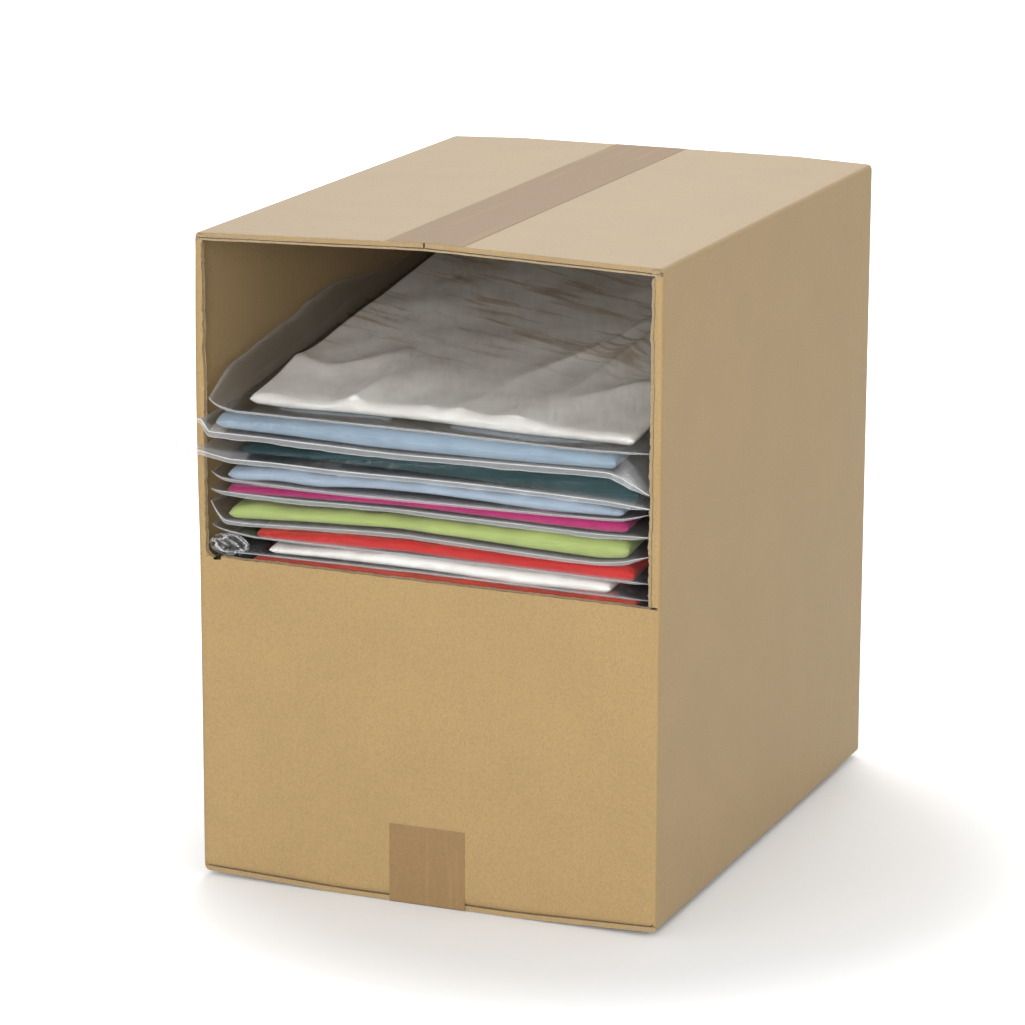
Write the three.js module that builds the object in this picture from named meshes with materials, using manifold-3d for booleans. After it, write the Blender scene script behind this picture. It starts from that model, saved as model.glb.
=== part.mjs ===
// A corrugated shipping box with its front torn open along a perforation, holding bagged garments.
// Millimetres, +Z up. X runs across the front, the front panel faces -Y.
// The origin lies on the floor, at the middle of the box's four panels.

import * as THREE from 'three';
import { mergeVertices } from 'three/addons/utils/BufferGeometryUtils.js';
import Module from 'manifold-3d';

const wasm = await Module();
wasm.setup();

// The carton, measured over its panels.
const BOX_WIDTH = 300;
const BOX_DEPTH = 395;
const BOX_HEIGHT = 403;
const BOARD = 3;
const FOLD_RADIUS = 4;
const FOLD_STEPS = 4;
const FLAP_REACH = 149.4;
const FLAP_GAP = 0.3;
const MAJOR_END_INSET = 1;
const MINOR_SIDE_GAP = 0.5;
const GLUE_TAB_WIDTH = 34;
const GLUE_TAB_END_INSET = 12;
const GLUE_TAB_BOARD = 2;

// How far the taped flaps stand off their creases' level.
const TOP_CROWN_FRONT = 4.4;
const TOP_CROWN_BACK = 2;
const CROWN_SHOULDER = 0.35;
const BOTTOM_BOW = 3;
const BOTTOM_FLAT_HALF = 60;

// The torn window: its lower line, the strips left beside it and how ragged its edges are.
const TEAR_HEIGHT = 202;
const STRIP_WIDTH = 5;
const TEAR_RAGGED = 0.7;
const STRIP_RAGGED = 0.5;
const TEAR_STEPS = 44;
const STRIP_STEPS = 24;
const TORN_CREASE_SETBACK = 1.2;
const TORN_CREASE_THICKNESS = 1.3;
const TORN_CREASE_DEPTH = 12;

// The perforation's nicks beside the window's lower corners.
const NICK_HEIGHT = 1.1;
const NICK_LENGTH = 3.4;
const NICK_FROM_EDGE = 1.2;

// The packing tape.
const TAPE_WIDTH = 50;
const TAPE_THICKNESS = 0.2;
const TAPE_STANDOFF = 0.2;
const TOP_TAPE_LAP = 50;
const BOTTOM_TAPE_LAP = 47;
const TOP_TAPE_FRONT_X = 0.2;
const TOP_TAPE_BACK_X = -5;
const BOTTOM_TAPE_X = 1.5;

// The packs: film, clearances and how the stack leans back.
const FILM = 0.3;
const CLEARANCE = 0.3;
const BAG_LEFT = -144;
const BAG_RIGHT = 143;
const BAG_BACK_INSET = 9;
const GARMENT_BACK_INSET = 20;
const BAG_MOUTH_RUNOUT = 2;
const SEAM_THICKNESS = 1.1;
const SEAM_SHARE = 0.35;
const SIDE_PINCH = 4;
const FRONT_PINCH = 5;
const SIDE_WELD = 1.5;
const FRONT_WELD = 3;
const TIP_FLARE = 6;
const STACK_RISE = 55;
const HIDDEN_PACKS = 8;
const HIDDEN_RISE_SHARE = 0.4;
const GARMENT_CORNER = 7;

const COLOURS = {
  kraft: '#b89b6a',
  tape: '#9a7a52',
  film: '#c9c9c7',
  white: '#e6e4e0',
  lightBlue: '#8ba3b5',
  teal: '#28565a',
  paleBlue: '#a3b7c9',
  magenta: '#a8306f',
  lime: '#a6c95f',
  red: '#c8231f',
  orange: '#c8431f',
  grey: '#8d8f92',
};

// Each pack that shows: its top at the front's left and right, the garment's ends, and where the bag starts.
// Heights are over the lower creases, as the front panel shows them, and setbacks are behind the front panel's face.
const VISIBLE_PACKS = [
  { name: 'white', colour: 'white', top: [301, 297], ends: [-124, 126], garment: 19, bag: [7, 5] },
  { name: 'light_blue', colour: 'lightBlue', top: [292.5, 288.5], ends: [-138, 126], garment: 9, bag: [-8, 2] },
  { name: 'teal', colour: 'teal', top: [278, 275.5], ends: [-120, 135], garment: 10, bag: [-11, 2] },
  { name: 'pale_blue', colour: 'paleBlue', top: [264, 258], ends: [-135, 124], garment: 14, bag: [6, 5] },
  { name: 'magenta', colour: 'magenta', top: [250.5, 250], ends: [-136, 132], garment: 13, bag: [4, 4] },
  { name: 'lime', colour: 'lime', top: [239, 241.5], ends: [-131, 134], garment: 12, bag: [4, 3] },
  { name: 'red', colour: 'red', top: [224, 226], ends: [-114, 136], garment: 13, bag: [5, 4] },
  { name: 'slim_white', colour: 'white', top: [214, 215], ends: [-106, 125], garment: 13, bag: [5, 5] },
  { name: 'orange', colour: 'orange', top: [206.5, 205.5], ends: [-118, 137], garment: 14, bag: [5, 5] },
];
const LOWEST_VISIBLE_BASE = [196, 195];

// Every pack behind the front panel, and the grids of a pack that shows and of one that doesn't.
const HIDDEN_PACK = { ends: [-132, 132], garment: 12, bag: [4, 4] };
const SHOWN_GRID = [5, 5];
const HIDDEN_GRID = [2, 3];

const FRONT = -BOX_DEPTH / 2;
const BACK = BOX_DEPTH / 2;
const HALF_WIDTH = BOX_WIDTH / 2;
const CREASE_LEVEL = BOTTOM_BOW + TAPE_STANDOFF + TAPE_THICKNESS;
const TOP_LEVEL = CREASE_LEVEL + BOX_HEIGHT;
const MINOR_DROP = BOARD + FLAP_GAP;
const INNER_HALF_WIDTH = HALF_WIDTH - BOARD;
const FLOOR_INSIDE = CREASE_LEVEL + MINOR_DROP + BOARD;

const lerp = THREE.MathUtils.lerp;
const clamp = THREE.MathUtils.clamp;

// Raggedness of torn board: a few waves that never repeat in step, between -1 and 1.
const ragged = (t) => 0.5 * Math.sin(t * 1.9) + 0.3 * Math.sin(t * 4.7 + 1.3) + 0.2 * Math.sin(t * 9.1 + 0.4);

// A manifold solid from a three.js geometry, turned right side out.
function solidOf(geometry) {
  const bare = geometry.clone();
  bare.deleteAttribute('normal');
  bare.deleteAttribute('uv');
  const merged = mergeVertices(bare, 1e-5);
  return new wasm.Manifold(new wasm.Mesh({
    numProp: 3,
    vertProperties: new Float32Array(merged.attributes.position.array),
    triVerts: new Uint32Array(merged.index.array),
  }));
}

// Six times the volume that an indexed mesh encloses: its sign tells which way the faces look.
function signedVolume(points, faces) {
  let total = 0;
  const corners = [new THREE.Vector3(), new THREE.Vector3(), new THREE.Vector3()];
  for (let face = 0; face < faces.length; face += 3) {
    corners.forEach((corner, index) => corner.fromArray(points, 3 * faces[face + index]));
    total += corners[0].dot(corners[1].cross(corners[2]));
  }
  return total;
}

// A closed slab between two grids of points with the same rows and columns.
// outer(column, row) and inner(column, row) give [x, y, z].
function slab(columns, rows, outer, inner) {
  const points = [];
  for (const side of [outer, inner]) {
    for (let row = 0; row <= rows; row += 1) {
      for (let column = 0; column <= columns; column += 1) {
        points.push(...side(column, row));
      }
    }
  }
  const sideCount = (columns + 1) * (rows + 1);
  const at = (side, column, row) => side * sideCount + row * (columns + 1) + column;
  const faces = [];
  const quad = (a, b, c, d) => faces.push(a, b, c, a, c, d);
  for (let row = 0; row < rows; row += 1) {
    for (let column = 0; column < columns; column += 1) {
      quad(at(0, column, row), at(0, column + 1, row), at(0, column + 1, row + 1), at(0, column, row + 1));
      quad(at(1, column, row), at(1, column, row + 1), at(1, column + 1, row + 1), at(1, column + 1, row));
    }
  }
  for (let column = 0; column < columns; column += 1) {
    quad(at(1, column, 0), at(1, column + 1, 0), at(0, column + 1, 0), at(0, column, 0));
    quad(at(0, column, rows), at(0, column + 1, rows), at(1, column + 1, rows), at(1, column, rows));
  }
  for (let row = 0; row < rows; row += 1) {
    quad(at(0, 0, row), at(0, 0, row + 1), at(1, 0, row + 1), at(1, 0, row));
    quad(at(1, columns, row), at(1, columns, row + 1), at(0, columns, row + 1), at(0, columns, row));
  }
  if (signedVolume(points, faces) < 0) {
    faces.reverse();
  }
  const geometry = new THREE.BufferGeometry();
  geometry.setAttribute('position', new THREE.Float32BufferAttribute(points, 3));
  geometry.setIndex(faces);
  return solidOf(geometry);
}

// A box between two corners, given as [x, y, z].
function block(low, high) {
  const size = high.map((value, axis) => value - low[axis]);
  const geometry = new THREE.BoxGeometry(...size);
  geometry.translate(...low.map((value, axis) => value + size[axis] / 2));
  return solidOf(geometry);
}

// A named mesh from a finished solid.
function meshOf(name, solid, colour, finish) {
  const result = solid.getMesh();
  const geometry = new THREE.BufferGeometry();
  geometry.setAttribute('position', new THREE.Float32BufferAttribute(result.vertProperties, 3));
  geometry.setIndex(Array.from(result.triVerts));
  geometry.computeVertexNormals();
  const material = new THREE.MeshStandardMaterial({ color: COLOURS[colour], metalness: 0, ...finish });
  const mesh = new THREE.Mesh(geometry, material);
  mesh.name = name;
  return mesh;
}

// How far the top flaps stand over the creases' level: a ridge at the front, a low plateau at the back.
function topCrown(x, y) {
  const inward = 1 - clamp(Math.abs(x) / HALF_WIDTH, 0, 1);
  const backward = clamp((y - FRONT) / BOX_DEPTH, 0, 1);
  const ridge = TOP_CROWN_FRONT * inward;
  const plateau = TOP_CROWN_BACK * Math.min(1, inward / CROWN_SHOULDER);
  return lerp(ridge, plateau, backward);
}

// How far the bottom flaps hang under the creases' level: flat in the middle, so that the box stands.
function bottomDrop(x) {
  const inward = HALF_WIDTH - Math.abs(x);
  return BOTTOM_BOW * clamp(inward / (HALF_WIDTH - BOTTOM_FLAT_HALF), 0, 1);
}

// The outline of the four panels seen from above, with rounded corners.
function panelOutline(inset, radius) {
  const halfX = HALF_WIDTH - inset;
  const halfY = BOX_DEPTH / 2 - inset;
  const shape = new THREE.Shape();
  shape.absarc(halfX - radius, halfY - radius, radius, 0, Math.PI / 2);
  shape.absarc(radius - halfX, halfY - radius, radius, Math.PI / 2, Math.PI);
  shape.absarc(radius - halfX, radius - halfY, radius, Math.PI, Math.PI * 1.5);
  shape.absarc(halfX - radius, radius - halfY, radius, Math.PI * 1.5, Math.PI * 2);
  return shape;
}

// The four panels, between the minor flaps' creases.
function panelTube() {
  const bottom = CREASE_LEVEL + MINOR_DROP + FOLD_RADIUS;
  const top = TOP_LEVEL - MINOR_DROP - FOLD_RADIUS;
  const shape = panelOutline(0, FOLD_RADIUS);
  shape.holes.push(panelOutline(BOARD, FOLD_RADIUS - BOARD));
  const geometry = new THREE.ExtrudeGeometry(shape, {
    depth: top - bottom,
    bevelEnabled: false,
    curveSegments: FOLD_STEPS,
  });
  geometry.translate(0, 0, bottom);
  return solidOf(geometry);
}

// Stations along a flap from its panel over the crease to its free edge.
// Each gives the run in from the panel's face, for both faces of the board, and the share of the fold's height.
function flapStations(reach, flatSteps) {
  const stations = [{ runs: [0, BOARD], rise: -1 }];
  for (let step = 0; step <= FOLD_STEPS; step += 1) {
    const angle = (Math.PI / 2) * (step / FOLD_STEPS);
    const turn = 1 - Math.cos(angle);
    stations.push({ runs: [FOLD_RADIUS * turn, BOARD + (FOLD_RADIUS - BOARD) * turn], rise: Math.sin(angle) });
  }
  for (let step = 1; step <= flatSteps; step += 1) {
    const run = lerp(FOLD_RADIUS, reach, step / flatSteps);
    stations.push({ runs: [run, run], rise: 1 });
  }
  return stations;
}

// A flap's height at a station: from the fold's foot up to the level that the flap reaches there.
// A rise of -1 lies below the foot, inside the panel that carries the flap.
function flapHeight(rise, foot, level, overlap) {
  return rise < 0 ? foot - Math.sign(level - foot) * overlap : foot + (level - foot) * rise;
}

// A major flap with the fold that joins it to its side panel. side is -1 for left and 1 for right.
function majorFlap(side, isTop) {
  const stations = flapStations(FLAP_REACH, 5);
  const rows = 6;
  const foot = isTop ? TOP_LEVEL - FOLD_RADIUS : CREASE_LEVEL + FOLD_RADIUS;
  const inward = isTop ? -1 : 1;
  const overlap = MINOR_DROP + 2;
  const flank = (face) => (column, row) => {
    const station = stations[column];
    const y = lerp(FRONT + MAJOR_END_INSET, BACK - MAJOR_END_INSET, row / rows);
    const x = side * (HALF_WIDTH - station.runs[face]);
    const surface = isTop ? TOP_LEVEL + topCrown(x, y) : CREASE_LEVEL - bottomDrop(x);
    const level = surface + inward * BOARD * face;
    return [x, y, flapHeight(station.rise, foot, level, overlap)];
  };
  return slab(stations.length - 1, rows, flank(0), flank(1));
}

// A minor flap with the fold that joins it to the back panel or to the foot of the front panel.
function minorFlap(side, isTop) {
  const stations = flapStations(FLAP_REACH, 4);
  const rows = 8;
  const foot = isTop ? TOP_LEVEL - MINOR_DROP - FOLD_RADIUS : CREASE_LEVEL + MINOR_DROP + FOLD_RADIUS;
  const inward = isTop ? -1 : 1;
  const halfSpan = INNER_HALF_WIDTH - MINOR_SIDE_GAP;
  const flank = (face) => (column, row) => {
    const station = stations[column];
    const x = lerp(-halfSpan, halfSpan, row / rows);
    const y = side * (BOX_DEPTH / 2 - station.runs[face]);
    const surface = isTop ? TOP_LEVEL + topCrown(x, y) : CREASE_LEVEL - bottomDrop(x);
    const level = surface + inward * (MINOR_DROP + BOARD * face);
    return [x, y, flapHeight(station.rise, foot, level, 2)];
  };
  return slab(stations.length - 1, rows, flank(0), flank(1));
}

// The top flap that was torn from the front panel: its crushed front edge is thin and ragged.
function tornMinorFlap() {
  const columns = 30;
  const runs = [0, TORN_CREASE_DEPTH, FLAP_REACH / 2, FLAP_REACH];
  const halfSpan = INNER_HALF_WIDTH - MINOR_SIDE_GAP;
  const flank = (face) => (column, row) => {
    const x = lerp(-halfSpan, halfSpan, column / columns);
    const edge = row === 0 ? TORN_CREASE_SETBACK + TEAR_RAGGED * ragged(column) : runs[row];
    const y = FRONT + edge;
    const thickness = row === 0 ? TORN_CREASE_THICKNESS : BOARD;
    return [x, y, TOP_LEVEL + topCrown(x, y) - MINOR_DROP - thickness * face];
  };
  return slab(columns, runs.length - 1, flank(0), flank(1));
}

// What joins the torn flap to the strips: the ends of its crease, at the window's upper corners.
function creaseEnd(side) {
  const low = TOP_LEVEL - MINOR_DROP - FOLD_RADIUS - 2;
  const inner = side * (HALF_WIDTH - STRIP_WIDTH);
  const outer = side * (INNER_HALF_WIDTH - MINOR_SIDE_GAP);
  const high = TOP_LEVEL - MINOR_DROP + topCrown(outer, FRONT);
  return block(
    [Math.min(inner, outer), FRONT + TORN_CREASE_SETBACK, low],
    [Math.max(inner, outer), FRONT + BOARD, high],
  );
}

// The piece of the front panel that was torn out.
function windowCut() {
  const halfSpan = HALF_WIDTH - STRIP_WIDTH;
  const tear = CREASE_LEVEL + TEAR_HEIGHT;
  const top = TOP_LEVEL;
  const shape = new THREE.Shape();
  shape.moveTo(-halfSpan, tear);
  for (let step = 1; step < TEAR_STEPS; step += 1) {
    const share = step / TEAR_STEPS;
    shape.lineTo(lerp(-halfSpan, halfSpan, share), tear + TEAR_RAGGED * ragged(step));
  }
  for (let step = 0; step <= STRIP_STEPS; step += 1) {
    shape.lineTo(halfSpan + STRIP_RAGGED * ragged(step + 7), lerp(tear, top, step / STRIP_STEPS));
  }
  for (let step = STRIP_STEPS; step > 0; step -= 1) {
    shape.lineTo(-halfSpan - STRIP_RAGGED * ragged(step + 19), lerp(tear, top, step / STRIP_STEPS));
  }
  const geometry = new THREE.ExtrudeGeometry(shape, { depth: BOARD + 2, bevelEnabled: false });
  geometry.rotateX(Math.PI / 2);
  geometry.translate(0, FRONT + BOARD + 1, 0);
  return solidOf(geometry);
}

// A nick of the perforation that stayed in the board beside the window.
function perforationNick(side) {
  const outer = side * (HALF_WIDTH - NICK_FROM_EDGE);
  const inner = outer - side * NICK_LENGTH;
  const middle = CREASE_LEVEL + TEAR_HEIGHT;
  return block(
    [Math.min(inner, outer), FRONT - 1, middle - NICK_HEIGHT / 2],
    [Math.max(inner, outer), FRONT + BOARD + 1, middle + NICK_HEIGHT / 2],
  );
}

// The maker's joint: a tab of the back panel glued inside the right panel.
function glueTab() {
  const face = INNER_HALF_WIDTH;
  return block(
    [face - GLUE_TAB_BOARD, BACK - BOARD - GLUE_TAB_WIDTH, CREASE_LEVEL + MINOR_DROP + GLUE_TAB_END_INSET],
    [face + 1, BACK - BOARD + 1, TOP_LEVEL - MINOR_DROP - GLUE_TAB_END_INSET],
  );
}

// The carton, one folded sheet.
function carton() {
  let sheet = panelTube().subtract(windowCut());
  for (const side of [-1, 1]) {
    sheet = sheet.subtract(perforationNick(side));
    sheet = sheet.add(creaseEnd(side));
    sheet = sheet.add(minorFlap(side, false));
  }
  sheet = sheet.add(glueTab()).add(minorFlap(1, true)).add(tornMinorFlap());
  for (const side of [-1, 1]) {
    sheet = sheet.add(majorFlap(side, true)).add(majorFlap(side, false));
  }
  return sheet;
}

// A strip of tape along a path of stations, with its middle at centre(y). It bends over the seam, at x = 0.
// A station has its y, its height z(x) and the direction out of the board there, outY and outZ.
function tapeStrip(stations, centre) {
  const flank = (lift) => (column, row) => {
    const station = stations[row];
    const middle = centre(station.y);
    const x = [middle - TAPE_WIDTH / 2, 0, middle + TAPE_WIDTH / 2][column];
    return [x, station.y + station.outY * lift, station.z(x) + station.outZ * lift];
  };
  return slab(2, stations.length - 1, flank(TAPE_STANDOFF + TAPE_THICKNESS), flank(TAPE_STANDOFF));
}

// Stations around a box edge, from its level face to its upright one, or the other way when reversed.
function edgeStations(centreY, level, sideY, sideZ, reversed) {
  const stations = [];
  for (let step = 0; step <= FOLD_STEPS; step += 1) {
    const angle = (Math.PI / 2) * ((reversed ? FOLD_STEPS - step : step) / FOLD_STEPS);
    const outY = sideY * Math.sin(angle);
    const outZ = sideZ * Math.cos(angle);
    stations.push({
      y: centreY + MAJOR_END_INSET * outY,
      z: (x) => level(x) + MAJOR_END_INSET * (outZ - sideZ),
      outY,
      outZ,
    });
  }
  return stations;
}

// The tape over the top seam: it ends torn at the front edge and laps down the back panel.
function topTape() {
  const level = (y) => (x) => TOP_LEVEL + topCrown(x, y);
  const stations = [];
  const steps = 8;
  const backEdge = BACK - MAJOR_END_INSET;
  for (let step = 0; step < steps; step += 1) {
    const y = lerp(FRONT + MAJOR_END_INSET, backEdge, step / steps);
    stations.push({ y, z: level(y), outY: 0, outZ: 1 });
  }
  stations.push(...edgeStations(backEdge, level(backEdge), 1, 1, false));
  stations.push({ y: BACK, z: () => TOP_LEVEL - TOP_TAPE_LAP, outY: 1, outZ: 0 });
  const centre = (y) => lerp(TOP_TAPE_FRONT_X, TOP_TAPE_BACK_X, (y - FRONT) / BOX_DEPTH);
  return tapeStrip(stations, centre);
}

// The tape under the bottom seam, lapped up the front and back panels.
function bottomTape() {
  const level = (x) => CREASE_LEVEL - bottomDrop(x);
  const lap = () => CREASE_LEVEL + BOTTOM_TAPE_LAP;
  const stations = [{ y: FRONT, z: lap, outY: -1, outZ: 0 }];
  stations.push(...edgeStations(FRONT + MAJOR_END_INSET, level, -1, -1, true));
  stations.push(...edgeStations(BACK - MAJOR_END_INSET, level, 1, -1, false));
  stations.push({ y: BACK, z: lap, outY: 1, outZ: 0 });
  return tapeStrip(stations, () => BOTTOM_TAPE_X);
}

// The heights between the packs, from the top of the stack down to the carton's floor.
function stackLevels() {
  const levels = VISIBLE_PACKS.map((pack) => pack.top.map((height) => height + CREASE_LEVEL));
  const base = LOWEST_VISIBLE_BASE.map((height) => height + CREASE_LEVEL);
  for (let pack = 0; pack <= HIDDEN_PACKS; pack += 1) {
    const share = pack / HIDDEN_PACKS;
    levels.push(base.map((height) => lerp(height, FLOOR_INSIDE + CLEARANCE, share)));
  }
  return levels;
}

const LEVELS = stackLevels();
const PACK_COUNT = LEVELS.length - 1;

// A level's rise towards the back: the hidden packs share the first part, the visible ones the rest.
function levelRise(index) {
  const shown = VISIBLE_PACKS.length;
  if (index >= shown) {
    return STACK_RISE * HIDDEN_RISE_SHARE * ((PACK_COUNT - index) / HIDDEN_PACKS);
  }
  return STACK_RISE * lerp(1, HIDDEN_RISE_SHARE, index / shown);
}

// The height of a level over a point of the floor.
function levelHeight(index, x, y) {
  const [left, right] = LEVELS[index];
  const across = clamp((x + HALF_WIDTH) / BOX_WIDTH, 0, 1);
  const backward = (y - FRONT) / BOX_DEPTH;
  return lerp(left, right, across) + levelRise(index) * backward;
}

// A pillow between two levels: full in the middle and pinched to a seam along its sides and front.
// outline(column, row) gives x and y, and inset is what is left off above and below.
function pillow({ index, columns, rows, outline, inset, seam, backPinched }) {
  const flank = (isTop) => (column, row) => {
    const [x, y] = outline(column, row);
    const fromSide = Math.min(column, columns - column);
    const fromEnd = backPinched ? Math.min(row, rows - row) : row;
    const pinched = fromSide === 0 || fromEnd === 0;
    const top = levelHeight(index, x, y) - CLEARANCE / 2 - inset;
    const bottom = levelHeight(index + 1, x, y) + CLEARANCE / 2 + inset;
    const seamMiddle = lerp(bottom, top, SEAM_SHARE);
    const seamHalf = Math.min(seam / 2, SEAM_SHARE * (top - bottom));
    if (pinched) {
      return [x, y, seamMiddle + (isTop ? seamHalf : -seamHalf)];
    }
    return [x, y, isTop ? top : bottom];
  };
  return slab(columns, rows, flank(true), flank(false));
}

// Rows of a bag from its front seam to its mouth, or of a garment from its front fold to its back.
function gridOutline({ xs, rows, frontLeft, frontRight, back, firstStep, flare }) {
  const columns = xs.length - 1;
  return (column, row) => {
    const across = (xs[column] - xs[0]) / (xs[columns] - xs[0]);
    const front = lerp(frontLeft, frontRight, across);
    const second = Math.max(front + firstStep, FRONT - CLEARANCE);
    const y = row === 0 ? front : lerp(second, back, (row - 1) / (rows - 1));
    const spread = row === 0 && column === 0 ? flare : 0;
    return [xs[column] - spread, y];
  };
}

// Evenly spread columns with a pinched border at each side.
function spreadColumns(left, right, margin, inner) {
  const xs = [left];
  for (let step = 0; step <= inner; step += 1) {
    xs.push(lerp(left + margin, right - margin, step / inner));
  }
  xs.push(right);
  return xs;
}

// A bag of clear film: a pinched pillow hollowed out from its mouth at the back.
// A bag that reaches out of the window flares sideways there, past the strip of board.
function bagSolid(index, pack, inner, rows) {
  const [leftSetback, rightSetback] = pack.bag;
  const shared = { index, columns: inner + 2, rows, backPinched: false };
  const cover = pillow({
    ...shared,
    outline: gridOutline({
      xs: spreadColumns(BAG_LEFT, BAG_RIGHT, SIDE_PINCH, inner),
      rows,
      frontLeft: FRONT + leftSetback,
      frontRight: FRONT + rightSetback,
      back: BACK - BAG_BACK_INSET,
      firstStep: FRONT_PINCH,
      flare: leftSetback < 0 ? TIP_FLARE : 0,
    }),
    inset: 0,
    seam: SEAM_THICKNESS,
  });
  const core = pillow({
    ...shared,
    outline: gridOutline({
      xs: spreadColumns(BAG_LEFT + SIDE_WELD, BAG_RIGHT - SIDE_WELD, SIDE_PINCH - 1, inner),
      rows,
      frontLeft: FRONT + Math.max(leftSetback, 0) + FRONT_WELD,
      frontRight: FRONT + Math.max(rightSetback, 0) + FRONT_WELD,
      back: BACK - BAG_BACK_INSET + BAG_MOUTH_RUNOUT,
      firstStep: FRONT_PINCH - 1,
      flare: 0,
    }),
    inset: FILM,
    seam: SEAM_THICKNESS - 2 * FILM,
  });
  return cover.subtract(core);
}

// A folded garment inside its bag.
function garmentSolid(index, pack, inner, rows) {
  const [left, right] = pack.ends;
  const front = FRONT + pack.garment;
  const thickness = 0.45 * (LEVELS[index][0] - LEVELS[index + 1][0]);
  return pillow({
    index,
    columns: inner + 2,
    rows,
    outline: gridOutline({
      xs: spreadColumns(left, right, GARMENT_CORNER, inner),
      rows,
      frontLeft: front,
      frontRight: front,
      back: BACK - GARMENT_BACK_INSET,
      firstStep: GARMENT_CORNER,
      flare: 0,
    }),
    inset: FILM + CLEARANCE,
    seam: thickness,
    backPinched: true,
  });
}

// The named packs from the top of the stack down.
function packList() {
  const hidden = Array.from({ length: HIDDEN_PACKS }, (unused, index) => ({
    ...HIDDEN_PACK,
    name: `lower_${String(index + 1).padStart(2, '0')}`,
    colour: 'grey',
    grid: HIDDEN_GRID,
  }));
  return [...VISIBLE_PACKS.map((pack) => ({ ...pack, grid: SHOWN_GRID })), ...hidden];
}

const shippingBox = new THREE.Group();
shippingBox.add(meshOf('carton', carton(), 'kraft', { roughness: 0.9 }));
shippingBox.add(meshOf('top_tape', topTape(), 'tape', { roughness: 0.35 }));
shippingBox.add(meshOf('bottom_tape', bottomTape(), 'tape', { roughness: 0.35 }));
packList().forEach((pack, index) => {
  const bag = bagSolid(index, pack, ...pack.grid);
  const garment = garmentSolid(index, pack, ...pack.grid);
  shippingBox.add(meshOf(`${pack.name}_garment`, garment, pack.colour, { roughness: 0.85 }));
  shippingBox.add(meshOf(`${pack.name}_bag`, bag, 'film', { roughness: 0.2, transparent: true, opacity: 0.35 }));
});

export default shippingBox;
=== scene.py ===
"""A shipping box with its front torn open, holding bagged garments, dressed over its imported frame.

The carton, its tapes and the packs that show in the window are built as fine meshes in the places
that the frame gives them. Lengths in the classes are millimetres, and finished meshes are metres.
"""

import logging
import math
from dataclasses import dataclass, field
from enum import Enum
from typing import Callable, Optional, Sequence, Union

import bmesh
import bpy
import numpy as np
from mathutils import Matrix, Vector


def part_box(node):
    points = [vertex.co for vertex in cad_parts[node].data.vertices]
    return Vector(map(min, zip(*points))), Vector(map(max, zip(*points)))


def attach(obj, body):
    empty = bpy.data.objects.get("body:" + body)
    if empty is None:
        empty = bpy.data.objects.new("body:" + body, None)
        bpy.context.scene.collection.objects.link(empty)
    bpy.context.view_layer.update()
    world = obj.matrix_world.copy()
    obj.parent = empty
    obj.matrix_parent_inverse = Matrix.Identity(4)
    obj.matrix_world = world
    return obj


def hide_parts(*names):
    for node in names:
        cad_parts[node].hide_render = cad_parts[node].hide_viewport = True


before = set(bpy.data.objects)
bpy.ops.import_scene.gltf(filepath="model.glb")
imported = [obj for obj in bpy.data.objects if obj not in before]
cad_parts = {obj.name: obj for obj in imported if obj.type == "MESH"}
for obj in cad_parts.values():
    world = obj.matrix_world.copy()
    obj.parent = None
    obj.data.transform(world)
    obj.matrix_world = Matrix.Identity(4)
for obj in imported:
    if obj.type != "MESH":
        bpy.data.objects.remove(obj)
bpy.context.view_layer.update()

LOG = logging.getLogger("shipping_box")
MM = 0.001
BODY = "root"

Pair = tuple[float, float]
Triple = tuple[float, float, float]
RGBA = tuple[float, float, float, float]
Polyline = Sequence[Pair]
Number = Union[float, np.ndarray]
Solid = tuple[np.ndarray, list[tuple]]
Level = Callable[[np.ndarray], np.ndarray]
Socket = bpy.types.NodeSocket
Value = Union[float, tuple, Socket]


class Slot(Enum):
    """The record's material slots, listed with the pieces."""

    BOARD = "kraft_board"
    TAPE = "packing_tape"
    FILM = "clear_film"
    WHITE = "white_cloth"
    LIGHT_BLUE = "light_blue_cloth"
    TEAL = "teal_cloth"
    PALE_BLUE = "pale_blue_cloth"
    MAGENTA = "magenta_cloth"
    LIME = "lime_cloth"
    RED = "red_cloth"
    ORANGE = "orange_cloth"
    GREY = "grey_cloth"


def smoothstep(value: np.ndarray) -> np.ndarray:
    """Return the smooth ramp from 0 to 1 of a value clamped to that range."""
    t = np.clip(value, 0.0, 1.0)
    return t * t * (3.0 - 2.0 * t)


def lerp(low: Number, high: Number, share: Number) -> Number:
    """Return the value a share of the way from low to high."""
    return low + (high - low) * share


def along(points: Polyline, x: np.ndarray) -> np.ndarray:
    """Return a polyline's height at each x, rounded off between its points.

    Args:
        points: The polyline's (x, height) points, from left to right.
        x: Where the heights are wanted.

    Returns:
        The heights.
    """
    xs, zs = np.array(points, dtype=float).T
    spread = (xs[-1] - xs[0]) / 40.0
    offsets = (-1.5, -0.5, 0.5, 1.5)
    return sum(np.interp(x + offset * spread, xs, zs) for offset in offsets) / len(offsets)


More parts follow.
